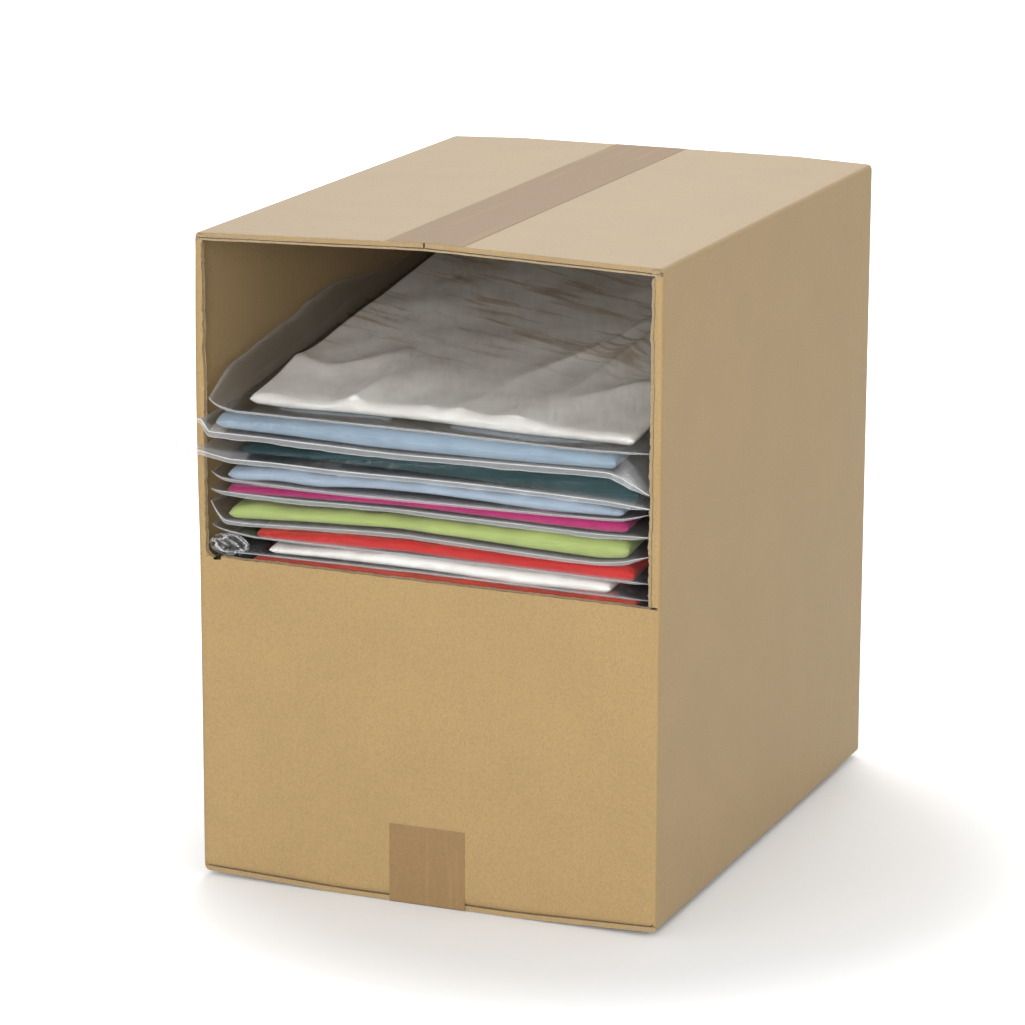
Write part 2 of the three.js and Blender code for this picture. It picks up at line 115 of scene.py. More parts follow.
class Waves:
    """Smooth noise between -1 and 1, the same on each run."""

    @staticmethod
    def _corner(ix: np.ndarray, iy: np.ndarray, seed: float) -> np.ndarray:
        """Return a fixed random value for each lattice corner."""
        mixed = np.sin(ix * 127.1 + iy * 311.7 + seed * 74.7) * 43758.5453
        return 2.0 * (mixed - np.floor(mixed)) - 1.0

    @classmethod
    def flat(cls, x: np.ndarray, y: np.ndarray, seed: float) -> np.ndarray:
        """Return one octave of noise over x and y, with cells one unit wide.

        Args:
            x: First coordinate, in cells.
            y: Second coordinate, in cells.
            seed: Picks the pattern.

        Returns:
            The noise, -1 to 1.
        """
        ix, iy = np.floor(x), np.floor(y)
        fx, fy = smoothstep(x - ix), smoothstep(y - iy)
        low = lerp(cls._corner(ix, iy, seed), cls._corner(ix + 1, iy, seed), fx)
        high = lerp(cls._corner(ix, iy + 1, seed), cls._corner(ix + 1, iy + 1, seed), fx)
        return lerp(low, high, fy)

    @classmethod
    def rough(cls, x: np.ndarray, y: np.ndarray, seed: float, octaves: int = 3) -> np.ndarray:
        """Return several octaves of noise over x and y.

        Args:
            x: First coordinate, in cells.
            y: Second coordinate, in cells.
            seed: Picks the pattern.
            octaves: How many octaves are added up.

        Returns:
            The noise, about -1 to 1.
        """
        total = np.zeros(np.broadcast(x, y).shape)
        size = 1.0
        for octave in range(octaves):
            total = total + size * cls.flat(x * 2.0**octave, y * 2.0**octave, seed + 17.3 * octave)
            size *= 0.5
        return total / (2.0 - 2.0 * 0.5**octaves)

    @classmethod
    def ridges(cls, x: np.ndarray, y: np.ndarray, seed: float) -> np.ndarray:
        """Return sharp-crested noise, from 0 in the valleys to 1 on the crests."""
        return 1.0 - np.abs(cls.rough(x, y, seed, 2)) * 2.0


class MeshKit:
    """Builds meshes from grids of points in millimetres."""

    @staticmethod
    def make(name: str, points: np.ndarray, faces: Sequence[Sequence[int]]) -> bpy.types.Mesh:
        """Return a mesh from points in millimetres and faces.

        Args:
            name: The mesh's name.
            points: Its points.
            faces: Its faces, each as point numbers.

        Returns:
            The mesh, in metres.
        """
        mesh = bpy.data.meshes.new(name)
        mesh.from_pydata((np.asarray(points) * MM).tolist(), [], [list(face) for face in faces])
        mesh.update()
        return mesh

    @staticmethod
    def grid_faces(rows: int, columns: int, start: int = 0, flipped: bool = False) -> list[tuple]:
        """Return the quads of a grid whose points run row by row.

        Args:
            rows: How many rows of points it has.
            columns: How many points a row has.
            start: Its first point's number.
            flipped: Whether its faces look the other way.

        Returns:
            The quads.
        """
        faces = []
        for row in range(rows - 1):
            for column in range(columns - 1):
                a = start + row * columns + column
                quad = (a, a + 1, a + columns + 1, a + columns)
                faces.append(quad[::-1] if flipped else quad)
        return faces

    @staticmethod
    def rim_loop(rows: int, columns: int) -> list[int]:
        """Return a grid's border as point numbers, once round.

        Args:
            rows: How many rows of points it has.
            columns: How many points a row has.

        Returns:
            The border's point numbers.
        """
        bottom = [column for column in range(columns)]
        right = [row * columns + columns - 1 for row in range(1, rows)]
        top = [(rows - 1) * columns + column for column in range(columns - 2, -1, -1)]
        left = [row * columns for row in range(rows - 2, 0, -1)]
        return bottom + right + top + left

    @classmethod
    def closed_slab(cls, top: np.ndarray, bottom: np.ndarray) -> Solid:
        """Return the points and faces of a closed body between two grids.

        Args:
            top: Points shaped (rows, columns, 3), seen from above.
            bottom: The points below them, in the same order.

        Returns:
            The points and the faces.
        """
        rows, columns, _ = top.shape
        count = rows * columns
        points = np.concatenate([top.reshape(-1, 3), bottom.reshape(-1, 3)])
        faces = cls.grid_faces(rows, columns)
        faces += cls.grid_faces(rows, columns, count, flipped=True)
        loop = cls.rim_loop(rows, columns)
        for a, b in zip(loop, loop[1:] + loop[:1]):
            faces.append((a, a + count, b + count, b))
        return points, faces

    @staticmethod
    def tube(path: np.ndarray, radius: float, sides: int = 6) -> Solid:
        """Return a closed tube along a path in millimetres.

        Args:
            path: The points that the tube follows.
            radius: Its radius.
            sides: How many sides its section has.

        Returns:
            The points and the faces.
        """
        tangents = np.gradient(path, axis=0)
        tangents /= np.linalg.norm(tangents, axis=1, keepdims=True)
        first = np.cross(tangents, (0.0, 1.0, 0.0))
        first /= np.maximum(np.linalg.norm(first, axis=1, keepdims=True), 1e-6)
        second = np.cross(tangents, first)
        rings = []
        for side in range(sides):
            angle = 2.0 * math.pi * side / sides
            rings.append(path + radius * (math.cos(angle) * first + math.sin(angle) * second))
        points = np.stack(rings, axis=1).reshape(-1, 3)
        faces = []
        for ring in range(len(path) - 1):
            for side in range(sides):
                a, b = ring * sides + side, ring * sides + (side + 1) % sides
                faces.append((a, b, b + sides, a + sides))
        faces.append(tuple(range(sides))[::-1])
        faces.append(tuple((len(path) - 1) * sides + side for side in range(sides)))
        return points, faces

    @staticmethod
    def joined(bodies: Sequence[Solid]) -> Solid:
        """Return several bodies as one set of points and faces.

        Args:
            bodies: Each body's points and faces.

        Returns:
            All their points and faces.
        """
        points, faces, start = [], [], 0
        for body_points, body_faces in bodies:
            points.append(body_points)
            faces += [tuple(index + start for index in face) for face in body_faces]
            start += len(body_points)
        return np.concatenate(points), faces

    @staticmethod
    def weld(mesh: bpy.types.Mesh, distance: float = 0.002) -> None:
        """Join a mesh's points that lie within a distance in millimetres.

        Args:
            mesh: The mesh.
            distance: The distance.
        """
        shape = bmesh.new()
        shape.from_mesh(mesh)
        bmesh.ops.remove_doubles(shape, verts=shape.verts, dist=distance * MM)
        bmesh.ops.dissolve_degenerate(shape, edges=shape.edges, dist=distance * MM)
        shape.to_mesh(mesh)
        shape.free()

    @staticmethod
    def face_out(mesh: bpy.types.Mesh) -> None:
        """Turn the faces of each closed body in a mesh to look outward.

        Args:
            mesh: The mesh.
        """
        shape = bmesh.new()
        shape.from_mesh(mesh)
        bmesh.ops.recalc_face_normals(shape, faces=shape.faces)
        shape.to_mesh(mesh)
        shape.free()

    @staticmethod
    def place(name: str, mesh: bpy.types.Mesh) -> bpy.types.Object:
        """Return a new object at the origin that holds a mesh.

        Args:
            name: The object's name.
            mesh: Its mesh.

        Returns:
            The object.
        """
        piece = bpy.data.objects.new(name, mesh)
        bpy.context.scene.collection.objects.link(piece)
        return piece

    @staticmethod
    def settle(piece: bpy.types.Object) -> None:
        """Apply a piece's modifiers to its mesh.

        Args:
            piece: The piece.
        """
        bpy.context.view_layer.update()
        evaluated = piece.evaluated_get(bpy.context.evaluated_depsgraph_get())
        mesh = bpy.data.meshes.new_from_object(evaluated)
        piece.modifiers.clear()
        piece.data = mesh

    @staticmethod
    def smooth(piece: bpy.types.Object, sharp_deg: float = 38.0) -> None:
        """Shade a piece smooth, but for edges sharper than an angle.

        Args:
            piece: The piece.
            sharp_deg: The angle, in degrees.
        """
        mesh = piece.data
        mesh.polygons.foreach_set("use_smooth", [True] * len(mesh.polygons))
        mesh.set_sharp_from_angle(angle=math.radians(sharp_deg))

    @staticmethod
    def write_attribute(mesh: bpy.types.Mesh, name: str, values: np.ndarray) -> None:
        """Store one number for each point of a mesh."""
        attribute = mesh.attributes.new(name, "FLOAT", "POINT")
        attribute.data.foreach_set("value", np.asarray(values, dtype=np.float32))

    @staticmethod
    def write_uv(mesh: bpy.types.Mesh, name: str, coordinates: np.ndarray) -> None:
        """Store a UV map from one (u, v) pair for each point of a mesh.

        Args:
            mesh: The mesh.
            name: The map's name.
            coordinates: The pairs.
        """
        layer = mesh.uv_layers.new(name=name)
        corner_points = np.zeros(len(mesh.loops), dtype=np.int32)
        mesh.loops.foreach_get("vertex_index", corner_points)
        layer.data.foreach_set("uv", coordinates[corner_points].astype(np.float32).ravel())


class Graph:
    """A material's node tree with short calls to grow it."""

    def __init__(self, name: str) -> None:
        """Start a material with a Principled shader.

        Args:
            name: The material's name.
        """
        self.material = bpy.data.materials.new(name)
        self.material.use_nodes = True
        self.tree = self.material.node_tree
        self.tree.nodes.clear()
        self.output = self.tree.nodes.new("ShaderNodeOutputMaterial")
        self.shader = self.node("ShaderNodeBsdfPrincipled")
        self.link(self.shader.outputs["BSDF"], self.output.inputs["Surface"])

    def node(self, kind: str, inputs: Optional[dict] = None, **settings: object) -> bpy.types.Node:
        """Add a node.

        Args:
            kind: The node's type.
            inputs: Values or links by socket name or number.
            **settings: The node's own properties.

        Returns:
            The node.
        """
        node = self.tree.nodes.new(kind)
        for key, value in settings.items():
            setattr(node, key, value)
        for key, value in (inputs or {}).items():
            if isinstance(value, Socket):
                self.link(value, node.inputs[key])
            else:
                node.inputs[key].default_value = value
        return node

    def link(self, source: Socket, target: Socket) -> None:
        """Link two sockets."""
        self.tree.links.new(source, target)

    def math(self, operation: str, first: Value, second: Value = 0.0, third: Value = 0.0) -> Socket:
        """Return the result of a maths node on two or three values or sockets.

        Args:
            operation: What the node works out.
            first: Its first input.
            second: Its second input.
            third: Its third input.

        Returns:
            The result's socket.
        """
        inputs = {0: first, 1: second}
        if operation == "MULTIPLY_ADD":
            inputs[2] = third
        return self.node("ShaderNodeMath", inputs, operation=operation).outputs[0]

    def place(self, scale: Triple) -> Socket:
        """Return object coordinates stretched by a scale along each axis."""
        coordinates = self.node("ShaderNodeTexCoord").outputs["Object"]
        return self.node("ShaderNodeMapping", {"Vector": coordinates, "Scale": scale}).outputs[0]

    def drawn(self, turn: float, stretch: float) -> Socket:
        """Return object coordinates turned about the vertical, then stretched along X.

        Args:
            turn: The turn, in radians.
            stretch: The scale of X.

        Returns:
            The coordinates' socket.
        """
        plain = self.place((1.0, 1.0, 1.0))
        turned = self.node("ShaderNodeMapping", {"Vector": plain, "Rotation": (0.0, 0.0, turn)}).outputs[0]
        return self.node("ShaderNodeMapping", {"Vector": turned, "Scale": (stretch, 1.0, 1.0)}).outputs[0]

    def noise(self, vector: Socket, scale: float, detail: float = 3.0) -> Socket:
        """Return a noise texture's value at a place."""
        node = self.node("ShaderNodeTexNoise", {"Vector": vector, "Scale": scale, "Detail": detail})
        return node.outputs["Fac"]

    def mix(self, share: Value, low: Value, high: Value) -> Socket:
        """Return two colours mixed by a share.

        Args:
            share: How much of the second colour there is.
            low: The first colour.
            high: The second colour.

        Returns:
            The mixed colour's socket.
        """
        node = self.node("ShaderNodeMix", data_type="RGBA")
        for name, value in (("Factor_Float", share), ("A_Color", low), ("B_Color", high)):
            socket = next(s for s in node.inputs if s.identifier == name)
            if isinstance(value, Socket):
                self.link(value, socket)
            else:
                socket.default_value = value
        return next(s for s in node.outputs if s.identifier == "Result_Color")

    def ramp(
        self, value: Socket, low: float, high: float, to_low: float = 0.0, to_high: float = 1.0
    ) -> Socket:
        """Return a value moved from one range to another and clamped.

        Args:
            value: The value's socket.
            low: The value that gives to_low.
            high: The value that gives to_high.
            to_low: The new range's start.
            to_high: The new range's end.

        Returns:
            The moved value's socket.
        """
        inputs = {"Value": value, "From Min": low, "From Max": high, "To Min": to_low, "To Max": to_high}
        return self.node("ShaderNodeMapRange", inputs).outputs[0]

    def bump(self, layers: Sequence[tuple[Socket, float]]) -> Socket:
        """Return a normal from several heights.

        Args:
            layers: Each height's socket and how many metres its range stands for.

        Returns:
            The normal's socket.
        """
        normal = None
        for height, distance in layers:
            inputs = {"Height": height, "Distance": distance, "Strength": 1.0}
            if normal is not None:
                inputs["Normal"] = normal
            normal = self.node("ShaderNodeBump", inputs).outputs["Normal"]
        return normal

    def dress(self, **sockets: Value) -> bpy.types.Material:
        """Set the shader's sockets, named with underscores for spaces, and return the material.

        Args:
            **sockets: Each socket's value, or the socket that feeds it.

        Returns:
            The material.
        """
        for key, value in sockets.items():
            socket = self.shader.inputs[key.replace("_", " ")]
            if isinstance(value, Socket):
                self.link(value, socket)
            else:
                socket.default_value = value
        return self.material


def rgba(red: float, green: float, blue: float) -> RGBA:
    """Return an opaque linear colour."""
    return (red, green, blue, 1.0)


@dataclass(frozen=True)
class BoardFinish:
    """Kraft liner over fluted board: speckled, faintly striped by its flutes."""

    name: str
    colour: Triple
    flute_pitch: float = 6.4
    speck_size: float = 0.9
    blotch_size: float = 45.0
    roughness: float = 0.52
    specular: float = 0.25
    sheen: float = 0.12
    stripe_share: float = 0.035
    torn: bool = False

    def material(self) -> bpy.types.Material:
        """Return the board's material."""
        graph = Graph(self.name)
        plain = graph.place((1.0, 1.0, 1.0))
        fibre_place = graph.place((1.0, 1.0, 0.75))
        specks = graph.noise(fibre_place, 1.0 / (self.speck_size * MM), 4.0)
        grain = graph.noise(plain, 2.6 / (self.speck_size * MM), 2.0)
        blotches = graph.noise(plain, 1.0 / (self.blotch_size * MM), 2.0)
        stripes = self._stripes(graph)
        base = rgba(*self.colour)
        dark = rgba(*(value * 0.8 for value in self.colour))
        light = rgba(*(min(1.0, value * 1.16) for value in self.colour))
        colour = graph.mix(graph.ramp(specks, 0.3, 0.7), dark, light)
        colour = graph.mix(0.35, colour, base)
        colour = graph.mix(graph.ramp(blotches, 0.35, 0.65, 0.0, 0.2), colour, dark)
        colour = graph.mix(graph.math("MULTIPLY", stripes, self.stripe_share), colour, dark)
        rare = graph.ramp(grain, 0.66, 0.76, 0.0, 0.5)
        colour = graph.mix(rare, colour, rgba(*(value * 0.45 for value in self.colour)))
        layers = [(specks, 0.00006), (stripes, 0.00005)]
        if self.torn:
            layers = [(graph.noise(plain, 900.0, 5.0), 0.0006)]
        return graph.dress(
            Base_Color=colour,
            Roughness=self.roughness,
            Specular_IOR_Level=self.specular,
            Sheen_Weight=self.sheen,
            Sheen_Roughness=0.4,
            Normal=graph.bump(layers),
        )

    def _stripes(self, graph: Graph) -> Socket:
        """Return the flutes' stripes, 0 to 1, from the board's own UV map.

        Args:
            graph: The material's graph.

        Returns:
            The stripes' socket.
        """
        uv = graph.node("ShaderNodeUVMap", uv_map="flutes").outputs["UV"]
        across = graph.node("ShaderNodeSeparateXYZ", {0: uv}).outputs["X"]
        turns = graph.math("MULTIPLY", across, 2.0 * math.pi / (self.flute_pitch * MM))
        return graph.math("MULTIPLY_ADD", graph.math("SINE", turns), 0.5, 0.5)


@dataclass(frozen=True)
class TapeFinish:
    """Brown packing tape: satin, with faint long wrinkles."""

    name: str
    colour: Triple
    roughness: float = 0.5
    specular: float = 0.18

    def material(self) -> bpy.types.Material:
        """Return the tape's material."""
        graph = Graph(self.name)
        streak_place = graph.place((1.0, 0.06, 0.06))
        streaks = graph.noise(streak_place, 160.0, 3.0)
        mottle = graph.noise(graph.place((1.0, 1.0, 1.0)), 700.0, 3.0)
        wide = graph.noise(graph.place((1.0, 0.05, 0.05)), 60.0, 1.0)
        light = rgba(*(value * 1.22 for value in self.colour))
        dark = rgba(*(value * 0.9 for value in self.colour))
        colour = graph.mix(graph.ramp(mottle, 0.35, 0.65), dark, rgba(*self.colour))
        colour = graph.mix(graph.ramp(streaks, 0.58, 0.72, 0.0, 0.6), colour, light)
        return graph.dress(
            Base_Color=colour,
            Roughness=self.roughness,
            Specular_IOR_Level=self.specular,
            Normal=graph.bump([(wide, 0.0009), (streaks, 0.0002), (mottle, 0.00003)]),
        )


@dataclass(frozen=True)
class FilmFinish:
    """Clear polythene film: see-through and glossy, milky where it is doubled or welded (the welds' milk
    partly a painted highlight), with a painted reflection: brown streaks in its see-through colour stand in
    for the carton reflected in it.
    """

    name: str
    milk: Triple = (0.72, 0.73, 0.735)
    roughness: float = 0.12
    gloss: float = 0.16
    clear: Triple = (0.994, 0.995, 0.995)
    painted_reflection_brown: Triple = (0.89, 0.85, 0.80)
    streak_turn: float = 0.35
    streak_stretch: float = 0.11
    refraction: float = 1.5

    def material(self) -> bpy.types.Material:
        """Return the film's material."""
        graph = Graph(self.name)
        veil = graph.node("ShaderNodeAttribute", attribute_name="veil").outputs["Fac"]
        folds = graph.noise(graph.place((1.0, 0.4, 1.0)), 60.0, 3.0)
        fine = graph.noise(graph.place((1.0, 1.0, 1.0)), 210.0, 2.0)
        normal = graph.bump([(folds, 0.0016), (fine, 0.00025)])
        # Painted reflection: where this attribute is set, brown streaks tint the see-through colour as the
        # carton's reflection.
        painted_reflection = graph.node("ShaderNodeAttribute", attribute_name="painted_reflection").outputs["Fac"]
        drawn = graph.drawn(self.streak_turn, self.streak_stretch)
        streaks = graph.ramp(graph.noise(drawn, 125.0, 5.0), 0.53, 0.66)
        brown = graph.mix(graph.math("MULTIPLY", painted_reflection, streaks), rgba(*self.clear), rgba(*self.painted_reflection_brown))
        clear = graph.node("ShaderNodeBsdfTransparent", {"Color": brown}).outputs[0]
        graph.dress(Base_Color=rgba(*self.milk), Roughness=0.35, Normal=normal)
        share = graph.node("ShaderNodeClamp", {0: veil}).outputs[0]
        milky = graph.shader.outputs[0]
        sheet = graph.node("ShaderNodeMixShader", {"Fac": share, 1: clear, 2: milky})
        shine = graph.node("ShaderNodeBsdfGlossy", {"Roughness": self.roughness, "Normal": normal})
        fresnel = graph.node("ShaderNodeFresnel", {"IOR": self.refraction, "Normal": normal}).outputs[0]
        amount = graph.math("MULTIPLY", fresnel, self.gloss)
        film = graph.node("ShaderNodeMixShader", {"Fac": amount, 1: sheet.outputs[0], 2: shine.outputs[0]})
        graph.link(film.outputs[0], graph.output.inputs["Surface"])
        return graph.material


@dataclass(frozen=True)
class ClothFinish:
    """Soft dyed cloth with a fine weave and slight sheen."""

    name: str
    colour: Triple
    sheen: float = 0.15
    weave: float = 0.55
    roughness: float = 0.8
    sheen_roughness: float = 0.5
    drape: float = 0.0
    drape_turn: float = 1.2
    drape_stretch: float = 0.22

    def material(self) -> bpy.types.Material:
        """Return the cloth's material."""
        graph = Graph(self.name)
        plain = graph.place((1.0, 1.0, 1.0))
        pitch = 2.0 * math.pi / (self.weave * MM)
        parts = graph.node("ShaderNodeSeparateXYZ", {0: plain}).outputs
        warp = graph.math("SINE", graph.math("MULTIPLY", parts["X"], pitch))
        weft = graph.math("SINE", graph.math("MULTIPLY", parts["Y"], pitch))
        cloth = graph.math("MULTIPLY", warp, weft)
        cloud = graph.noise(plain, 45.0, 3.0)
        lint = graph.noise(plain, 1200.0, 3.0)
        layers = [(cloth, 0.00012), (lint, 0.0001)]
        if self.drape:
            drawn = graph.drawn(self.drape_turn, self.drape_stretch)
            layers.append((graph.noise(drawn, 75.0, 2.0), self.drape * MM))
            layers.append((graph.noise(plain, 22.0, 1.0), self.drape * MM))
        dark = rgba(*(value * 0.78 for value in self.colour))
        light = rgba(*(min(1.0, value * 1.12 + 0.01) for value in self.colour))
        colour = graph.mix(graph.ramp(cloud, 0.3, 0.7), dark, light)
        colour = graph.mix(0.5, colour, rgba(*self.colour))
        colour = graph.mix(graph.ramp(lint, 0.55, 0.75, 0.0, 0.25), colour, light)
        return graph.dress(
            Base_Color=colour,
            Roughness=self.roughness,
            Sheen_Weight=self.sheen,
            Sheen_Roughness=self.sheen_roughness,
            Specular_IOR_Level=0.3,
            Normal=graph.bump(layers),
        )


Finish = Union[BoardFinish, TapeFinish, FilmFinish, ClothFinish]


@dataclass
class Wardrobe:
    """Every finish of the object, made once."""

    board: BoardFinish = BoardFinish("kraft_liner", (0.332, 0.224, 0.098))
    torn_board: BoardFinish = BoardFinish("torn_kraft", (0.335, 0.25, 0.15), roughness=0.85, torn=True)
    core_shadow: BoardFinish = BoardFinish("core_shadow", (0.10, 0.066, 0.034), roughness=0.95, torn=True)
    tape: TapeFinish = TapeFinish("brown_tape", (0.25, 0.157, 0.072))
    film: FilmFinish = FilmFinish("clear_polythene")
    cloths: dict[Slot, ClothFinish] = field(
        default_factory=lambda: {
            Slot.WHITE: ClothFinish("white_satin", (0.93, 0.90, 0.85), sheen=0.1, roughness=0.55, drape=2.0),
            Slot.LIGHT_BLUE: ClothFinish("light_blue_jersey", (0.245, 0.33, 0.415)),
            Slot.TEAL: ClothFinish("teal_jersey", (0.006, 0.035, 0.039), sheen=0.05),
            Slot.PALE_BLUE: ClothFinish("pale_blue_jersey", (0.34, 0.42, 0.52)),
            Slot.MAGENTA: ClothFinish("magenta_jersey", (0.40, 0.016, 0.13)),
            Slot.LIME: ClothFinish("lime_jersey", (0.345, 0.43, 0.125)),
            Slot.RED: ClothFinish("red_jersey", (0.52, 0.014, 0.012)),
            Slot.ORANGE: ClothFinish("orange_red_jersey", (0.50, 0.045, 0.018)),
            Slot.GREY: ClothFinish("grey_jersey", (0.28, 0.29, 0.31)),
        }
    )
    made: dict[str, bpy.types.Material] = field(default_factory=dict)

    def material(self, finish: Finish) -> bpy.types.Material:
        """Return a finish's material, made the first time it is asked for.

        Args:
            finish: The finish.

        Returns:
            Its material.
        """
        if finish.name not in self.made:
            self.made[finish.name] = finish.material()
        return self.made[finish.name]

    def wear(self, piece: bpy.types.Object, slot: Slot, *finishes: Finish) -> None:
        """Dress a piece in finishes and tie it to the object's body.

        Args:
            piece: The piece.
            slot: Not used.
            *finishes: Its finishes, in the order of its faces' material numbers.
        """
        piece.data.materials.clear()
        for finish in finishes:
            piece.data.materials.append(self.material(finish))
        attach(piece, BODY)


@dataclass
class BoxFrame:
    """The box's main sizes and levels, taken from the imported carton."""

    board: float = 3.0
    fold_radius: float = 2.8
    bottom_bow: float = 3.0
    top_crown_front: float = 4.4
    top_crown_back: float = 2.0
    crown_shoulder: float = 0.35
    flat_half: float = 60.0
    flap_gap: float = 0.3
    flap_reach: float = 149.4

    def __post_init__(self) -> None:
        """Read the carton's box from the frame."""
        low, high = (np.array(corner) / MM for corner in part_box("carton"))
        self.half_width = float(high[0] - low[0]) / 2.0
        self.half_depth = float(high[1] - low[1]) / 2.0
        self.crease_level = float(low[2]) + self.bottom_bow
        crown_at_seam = self.top_crown_front * (self.flap_reach / self.half_width)
        self.top_level = float(high[2]) - crown_at_seam
        self.front = -self.half_depth
        self.back = self.half_depth
        self.minor_drop = self.board + self.flap_gap

    def across(self, x: Number) -> Number:
        """Return how far over the box's width an x lies, 0 at its left."""
        return (x + self.half_width) / (2.0 * self.half_width)

    def backward(self, y: Number) -> Number:
        """Return how far along the box's depth a y lies, 0 at its front."""
        return (y - self.front) / (2.0 * self.half_depth)

    def top_crown(self, x: np.ndarray, y: np.ndarray) -> np.ndarray:
        """Return how far the top flaps stand over their creases.

        Args:
            x: The points' x.
            y: The points' y.

        Returns:
            The heights.
        """
        inward = 1.0 - np.clip(np.abs(x) / self.half_width, 0.0, 1.0)
        ridge = self.top_crown_front * inward
        plateau = self.top_crown_back * np.minimum(1.0, inward / self.crown_shoulder)
        return lerp(ridge, plateau, np.clip(self.backward(y), 0.0, 1.0))

    def bottom_drop(self, x: np.ndarray) -> np.ndarray:
        """Return how far the bottom flaps hang under their creases."""
        inward = self.half_width - np.abs(x)
        return self.bottom_bow * np.clip(inward / (self.half_width - self.flat_half), 0.0, 1.0)


@dataclass
class CutEdge:
    """A bare edge of the board: two liners with the fluted core between them.

    The path runs along the outer face's edge, in millimetres. Inward points through the board, and
    outward out of the cut.
    """

    path: np.ndarray
    inward: Triple
    outward: Triple
    seed: float
    torn: float = 0.0
    plies_beyond: Pair = (0.0, 0.0)
    crosses_flutes: bool = False
    board: float = 3.0
    liner: float = 0.5
    core: float = 0.75
    rooted: float = 0.3
    flute_pitch: float = 6.4
    step: float = 0.6

    def __post_init__(self) -> None:
        """Walk the path in even short steps."""
        lengths = np.linalg.norm(np.diff(self.path, axis=0), axis=1)
        run = np.concatenate([[0.0], np.cumsum(lengths)])
        self.run = np.linspace(0.0, run[-1], max(3, int(run[-1] / self.step)))
        self.points = np.stack([np.interp(self.run, run, self.path[:, axis]) for axis in range(3)], axis=-1)

    def ragged(self, seed: float) -> np.ndarray:
        """Return how far a torn ply stands out, about 0 to 1.5, along the edge.

        Args:
            seed: Picks the pattern.

        Returns:
            The reach at each of the edge's points.
        """
        fine = 0.5 + 0.5 * Waves.rough(self.run / 1.3, np.full_like(self.run, 0.5), self.seed + seed)
        lane = np.full_like(self.run, 1.5)
        tongues = np.clip(Waves.rough(self.run / 8.0, lane, self.seed + seed + 5), 0, 1)
        return fine**1.6 + 1.3 * tongues

    def ribbon(self, offset: np.ndarray, reach: np.ndarray, thickness: float) -> tuple:
        """Return a thin ply along the edge.

        Args:
            offset: How deep in the board it lies.
            reach: How far it stands out of the cut.
            thickness: How thick it is.

        Returns:
            The points and the faces of a closed body.
        """
        inward, outward = np.array(self.inward), np.array(self.outward)
        seat = self.points + inward * np.broadcast_to(offset, self.run.shape)[:, None]
        base = seat - outward * self.rooted
        tip = seat + outward * reach[:, None]
        sheet = np.stack([base, tip])
        return MeshKit.closed_slab(sheet, sheet + inward * thickness)

    def plies(self) -> list[tuple]:
        """Return the outer liner, the core and the inner liner as closed bodies."""
        small = 0.04 + 0.03 * Waves.rough(self.run / 2.0, np.zeros_like(self.run), self.seed)
        outer = small + self.torn * self.ragged(1.0)
        inner = small + self.torn * self.ragged(2.0) * 1.2 + self.plies_beyond[1]
        if self.crosses_flutes:
            wave = 0.5 + 0.5 * np.sin(2.0 * math.pi * self.run / self.flute_pitch)
        else:
            wave = 0.5 + 0.5 * Waves.rough(self.run / 7.0, np.zeros_like(self.run), self.seed + 3.0)
        depth = lerp(self.liner + 0.1, self.board - self.liner - self.core - 0.1, wave)
        core = -0.12 + (0.1 + 0.7 * self.torn) * self.ragged(3.0) + self.plies_beyond[0]
        return [
            self.ribbon(np.array(0.0), outer, self.liner),
            self.ribbon(depth, core, self.core),
            self.ribbon(np.array(self.board - self.liner), inner, self.liner),
        ]


